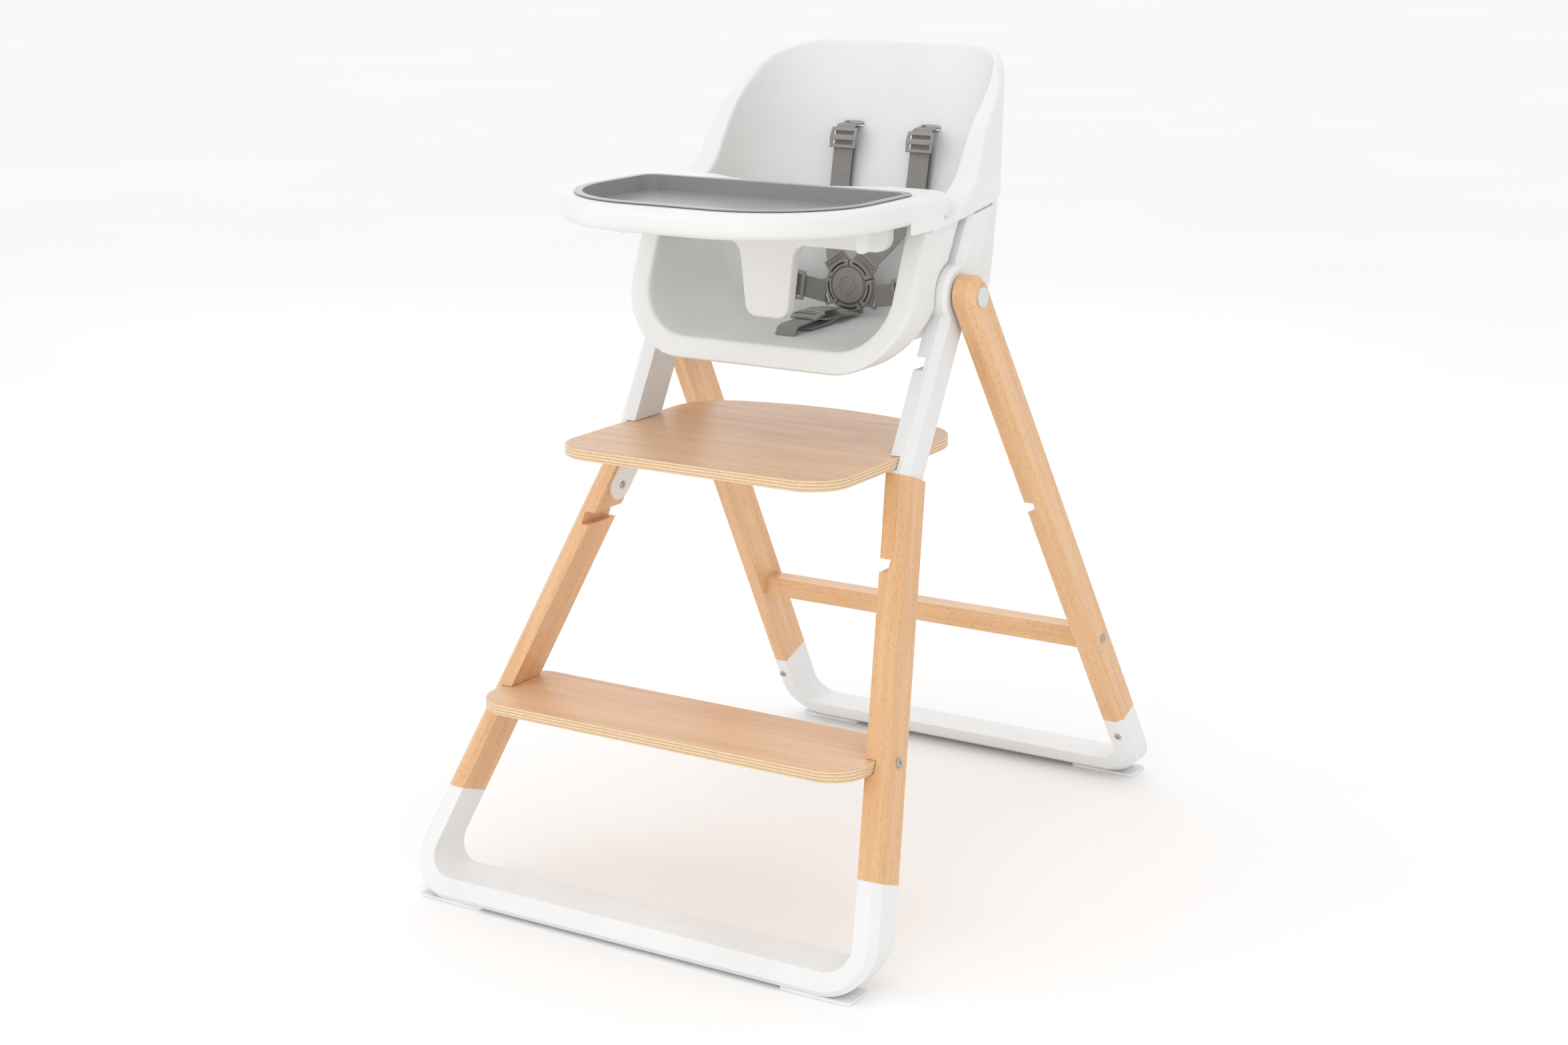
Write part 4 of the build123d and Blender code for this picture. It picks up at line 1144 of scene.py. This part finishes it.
@dataclass
class Glide:
    """Moulded strap adjuster: a bowed frame with a bar across the middle and a thick lip."""

    name: str
    centre: Vector
    run: Vector
    across: Vector
    body: Body
    width: float = 35 * MM
    height: float = 24 * MM
    thickness: float = 2.6 * MM
    wall: float = 3.6 * MM
    bar: float = 3 * MM
    end_depth: float = 4.4 * MM
    bow_along: float = 2.4 * MM
    bow_across: float = 1.2 * MM
    lip: float = 1.8 * MM
    seen_from: Vector = field(default_factory=lambda: Vector((0.3, -1.0, 0.35)))

    def build(self, *nodes: str) -> bpy.types.Object:
        """Makes the adjuster.

        Args:
            nodes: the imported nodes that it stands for.

        Returns:
            The adjuster.
        """
        vertices, faces = self.shape()
        glide = piece(self.name, vertices, faces, BUCKLE_GREY, self.body)
        rounded(glide, 0.7 * MM, 3, 35)
        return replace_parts(glide, *nodes) if nodes else glide

    def shape(self) -> tuple[list[Vector], list[list[int]]]:
        """Points and faces of the bowed frame and its lip.

        Returns:
            The vertices and the faces.
        """
        run = self.run.normalized()
        side = (self.across - run * self.across.dot(run)).normalized()
        front = run.cross(side)
        if front.dot(self.seen_from) < 0:
            front = -front
        half, tall, wall, end = self.width / 2, self.height / 2, self.wall, self.end_depth
        columns = (-half, -half + wall, -half * 0.4, 0.0, half * 0.4, half - wall, half)
        bar = self.bar / 2
        rows = (-tall, -tall + end, -tall + 2 * end, -bar, bar, tall - 2 * end, tall - wall, tall)
        gaps = [(column, row) for column in range(1, 5) for row in (1, 5)]

        def place(x: float, y: float, z: float) -> Vector:
            """Point of the frame, whose middle stands forward of its ends and whose lip curls forward.

            Args:
                x: distance across the strap.
                y: distance along the strap.
                z: distance from the frame's middle surface.

            Returns:
                The point.
            """
            bow = self.bow_along * math.cos(math.pi * y / self.height)
            bow += self.bow_across * math.cos(math.pi * x / self.width)
            lip = self.lip * max(0.0, (y / tall - 0.55) / 0.45)
            narrow = 1.0 - 0.05 * abs(y / tall)
            return self.centre + side * x * narrow + run * y + front * (z + bow + lip)

        return plate(columns, rows, gaps, place, -self.thickness / 2, self.thickness / 2)


@dataclass
class Harness:
    """Five-point harness: straps, adjusters and buckle."""

    buckle: Vector
    shoulder_spread: float = 50 * MM
    shoulder_slot: Vector = field(default_factory=lambda: Vector((0, 172.1 * MM, 810 * MM)))
    seat_floor: float = 603 * MM
    waist_reach: float = 156 * MM
    crotch_slot: Vector = field(default_factory=lambda: Vector((0, -73.9 * MM, 596 * MM)))
    end_radius: float = 33 * MM
    short_glide: float = 20 * MM

    def build(self) -> None:
        """Makes every strap, adjuster and the buckle."""
        Buckle(self.buckle).build()
        for side in Side:
            self.shoulder(side)
            self.waist(side)
        self.crotch()

    def strap_end(self, side: Side, turn: float) -> Vector:
        """Point where a strap meets the buckle.

        Args:
            side: the side it is on.
            turn: its direction round the buckle in radians.

        Returns:
            The point.
        """
        reach = self.end_radius
        return Vector((side.value * reach * math.cos(turn), self.buckle.y - 1 * MM,
                       self.buckle.z + reach * math.sin(turn)))

    def shoulder(self, side: Side) -> None:
        """One shoulder strap from its slot to the buckle, its folded tail and its adjuster.

        Args:
            side: the side it is on.
        """
        s = side.value
        x = self.shoulder_spread * s
        slot = self.shoulder_slot
        turn = math.radians(SHOULDER_ANGLE)
        points = [
            Vector((x, slot.y, slot.z)), Vector((x, slot.y - 18 * MM, slot.z + 1 * MM)),
            Vector((x, slot.y - 32 * MM, slot.z)), Vector((x, 140.5 * MM, slot.z - 12 * MM)),
            Vector((x, 136 * MM, 786 * MM)), Vector((x, 131.5 * MM, 762 * MM)),
            Vector((x * 0.99, 126 * MM, 736 * MM)), Vector((x * 0.93, 112 * MM, 712 * MM)),
            Vector((x * 0.70, 89 * MM, 688 * MM)), self.strap_end(side, turn)]
        last = Vector((math.sin(turn), 0, -s * math.cos(turn)))
        across = [X_AXIS] * 7 + [X_AXIS.lerp(last, 0.4), X_AXIS.lerp(last, 0.9), last]
        strap = Tape(side.node("shoulder_webbing"), points, across).build(Body.FRONT)
        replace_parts(strap, side.node("shoulder_strap"))
        tail = [Vector((x + s * 0.6 * MM, y * MM, z * MM)) for y, z in
                ((145.5, 792), (141.5, 775), (137, 757), (133.5, 738), (131.5, 716), (130.8, 700))]
        Tape(side.node("shoulder_tail"), tail, [X_AXIS] * 5 + [Vector((1, 0.12, 0.05))]).build(Body.FRONT)
        body = Body.SLIDER_LEFT if side is Side.LEFT else Body.SLIDER_RIGHT
        run = points[5] - points[3]
        adjuster = side.node("shoulder_adjuster")
        Glide(side.node("shoulder_glide"), middle_of(adjuster), run, X_AXIS, body).build(adjuster)

    def waist(self, side: Side) -> None:
        """One waist strap with its adjuster.

        Args:
            side: the side it is on.
        """
        s = side.value
        buckle = self.buckle
        turn = math.radians(WAIST_ANGLE)
        points = [
            Vector((s * self.waist_reach, buckle.y, buckle.z)),
            Vector((s * 138 * MM, buckle.y - 1 * MM, buckle.z)),
            Vector((s * 116 * MM, buckle.y - 5 * MM, buckle.z - 1 * MM)),
            Vector((s * 92 * MM, buckle.y - 6 * MM, buckle.z - 2 * MM)),
            Vector((s * 68 * MM, buckle.y - 4 * MM, buckle.z - 4 * MM)),
            Vector((s * 50 * MM, buckle.y - 2 * MM, buckle.z - 7 * MM)), self.strap_end(side, turn)]
        last = Vector((-s * math.sin(turn), 0, math.cos(turn)))
        across = [Z_AXIS] * 4 + [Z_AXIS.lerp(last, 0.3), Z_AXIS.lerp(last, 0.8), last]
        strap = Tape(side.node("waist_webbing"), points, across).build(Body.FRONT)
        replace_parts(strap, side.node("waist_strap"))
        tail = [point + Vector((0, 3.2 * MM, 0)) for point in points[1:5]]
        Tape(side.node("waist_tail"), tail, [Z_AXIS] * 4).build(Body.FRONT)
        Glide(side.node("waist_glide"), points[4], points[5] - points[3], Z_AXIS, Body.FRONT,
              height=self.short_glide).build(side.node("waist_adjuster"))

    def crotch(self) -> None:
        """Crotch strap, folded back on itself between its two adjusters."""
        slot = self.crotch_slot
        floor = self.seat_floor
        buckle = self.buckle
        points = [
            slot, Vector((0, slot.y, floor + 3 * MM)), Vector((0, slot.y + 7 * MM, floor + 10 * MM)),
            Vector((0, slot.y + 26 * MM, floor + 10 * MM)), Vector((0, -22 * MM, floor + 12 * MM)),
            Vector((0, 0, floor + 7 * MM)), Vector((0, 22 * MM, floor + 9 * MM)),
            Vector((0, 42 * MM, floor + 6 * MM)), Vector((0, buckle.y - 2 * MM, buckle.z - 30 * MM))]
        strap = Tape("crotch_webbing", points, [X_AXIS] * len(points)).build(Body.FRONT)
        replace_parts(strap, "crotch_strap")
        fold = [Vector((0, y * MM, floor + z * MM)) for y, z in
                ((-34, 15), (-16, 18), (4, 19), (18, 16), (21, 11), (14, 6), (-2, 3.2), (-22, 2.4),
                 (-40, 2.4))]
        turned_across = [X_AXIS] * 3 + [Vector((1, 0.16, 0))] * 3 + [X_AXIS] * 3
        Tape("crotch_fold", fold, turned_across).build(Body.FRONT)
        Glide("crotch_glide_front", Vector((0, -26 * MM, floor + 14 * MM)), Vector((0, 1, 0.12)), X_AXIS,
              Body.FRONT, height=self.short_glide).build("crotch_adjusters")
        Glide("crotch_glide_back", Vector((0, 26 * MM, floor + 12 * MM)), Vector((0, 1, -0.2)), X_AXIS,
              Body.FRONT, height=self.short_glide).build()


# ---------------------------------------------------------------- studio
@dataclass
class Studio:
    """Pale floor, soft lights and the camera."""

    floor_radius: float = 30.0
    floor_dark: Colour = (0.93, 0.93, 0.93)
    floor_light: Colour = (0.95, 0.95, 0.95)
    camera_place: Vector = field(default_factory=lambda: Vector((1.4653, -2.4600, 1.1129)))
    camera_tilt: float = 75.55
    camera_turn: float = 31.58
    lens: float = 59.58
    sensor: float = 36.0
    clip_end: float = 200.0
    air_strength: float = 1.0
    looked_at: Vector = field(default_factory=lambda: Vector((0, 0, 0.5)))

    def build(self) -> None:
        """Makes the floor, lights, world and camera."""
        self.floor()
        self.light("key", Vector((-2.2, -2.4, 2.6)), 2.4, 9.0)
        self.light("front", Vector((0.6, -3.4, 1.1)), 1.8, 13.0)
        self.light("top", Vector((0.3, -0.3, 3.4)), 2.6, 7.0)
        self.light("back", Vector((-1.8, 2.8, 2.0)), 2.2, 5.0)
        world = bpy.data.worlds.new("studio_air")
        bpy.context.scene.world = world
        world.use_nodes = True
        air = world.node_tree.nodes["Background"]
        air.inputs["Color"].default_value = (1.0, 1.0, 1.0, 1.0)
        air.inputs["Strength"].default_value = self.air_strength
        bpy.context.scene.view_settings.view_transform = "Standard"
        self.camera()

    def floor(self) -> None:
        """Large pale disc under the feet."""
        rim = [(self.floor_radius, -10 * MM), (self.floor_radius, 0.0)]
        points, faces = turned(Vector(), Z_AXIS, rim, 96)
        mesh = bpy.data.meshes.new("floor")
        mesh.from_pydata([tuple(p) for p in points], [], faces)
        disc = bpy.data.objects.new("floor", mesh)
        bpy.context.scene.collection.objects.link(disc)
        g = Graph("floor_pale")
        cloud = g.spread(g.noise(0.8, 2.0), 0.0, 1.0)
        shade = g.blend(cloud, opaque(self.floor_dark), opaque(self.floor_light))
        mesh.materials.append(g.finish(shade, 0.7, g.bump(g.noise(60.0, 2.0), 0.0001)))
        disc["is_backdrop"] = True

    def light(self, name: str, place: Vector, size: float, power: float) -> None:
        """One soft square light that looks at the middle of the chair.

        Args:
            name: name of the light.
            place: where it stands.
            size: side of its square, in metres.
            power: watts.
        """
        lamp = bpy.data.lights.new(name, "AREA")
        lamp.shape = "SQUARE"
        lamp.size = size
        lamp.energy = power
        thing = bpy.data.objects.new(name, lamp)
        thing.location = place
        thing.rotation_euler = (self.looked_at - place).to_track_quat("-Z", "Y").to_euler()
        bpy.context.scene.collection.objects.link(thing)

    def camera(self) -> None:
        """The camera at the chosen view."""
        data = bpy.data.cameras.new("camera")
        data.lens = self.lens
        data.sensor_width = self.sensor
        data.clip_end = self.clip_end
        thing = bpy.data.objects.new("camera", data)
        thing.location = self.camera_place
        thing.rotation_euler = (math.radians(self.camera_tilt), 0.0, math.radians(self.camera_turn))
        bpy.context.scene.collection.objects.link(thing)
        bpy.context.scene.camera = thing


def corners(box: tuple[Vector, Vector]) -> list[list[float]]:
    """A box's two corners as plain lists."""
    return [list(corner) for corner in box]


def main() -> None:
    """Builds the chair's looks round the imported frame, part by part."""
    logging.basicConfig(level=logging.INFO, format="%(name)s: %(message)s")
    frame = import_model()
    cad_box = corners(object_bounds())
    LOG.info("frame loaded with %d nodes", len(frame["nodes"]))
    buckle = middle_of("buckle_button")
    buckle.y = middle_of("buckle_body").y
    Studio().build()
    FrontFrame().build()
    RearFrame().build()
    Seat().build()
    Tray().build()
    Harness(buckle).build()
    {"cad": cad_box, "visual": corners(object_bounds())}


if __name__ == "__main__":
    main()
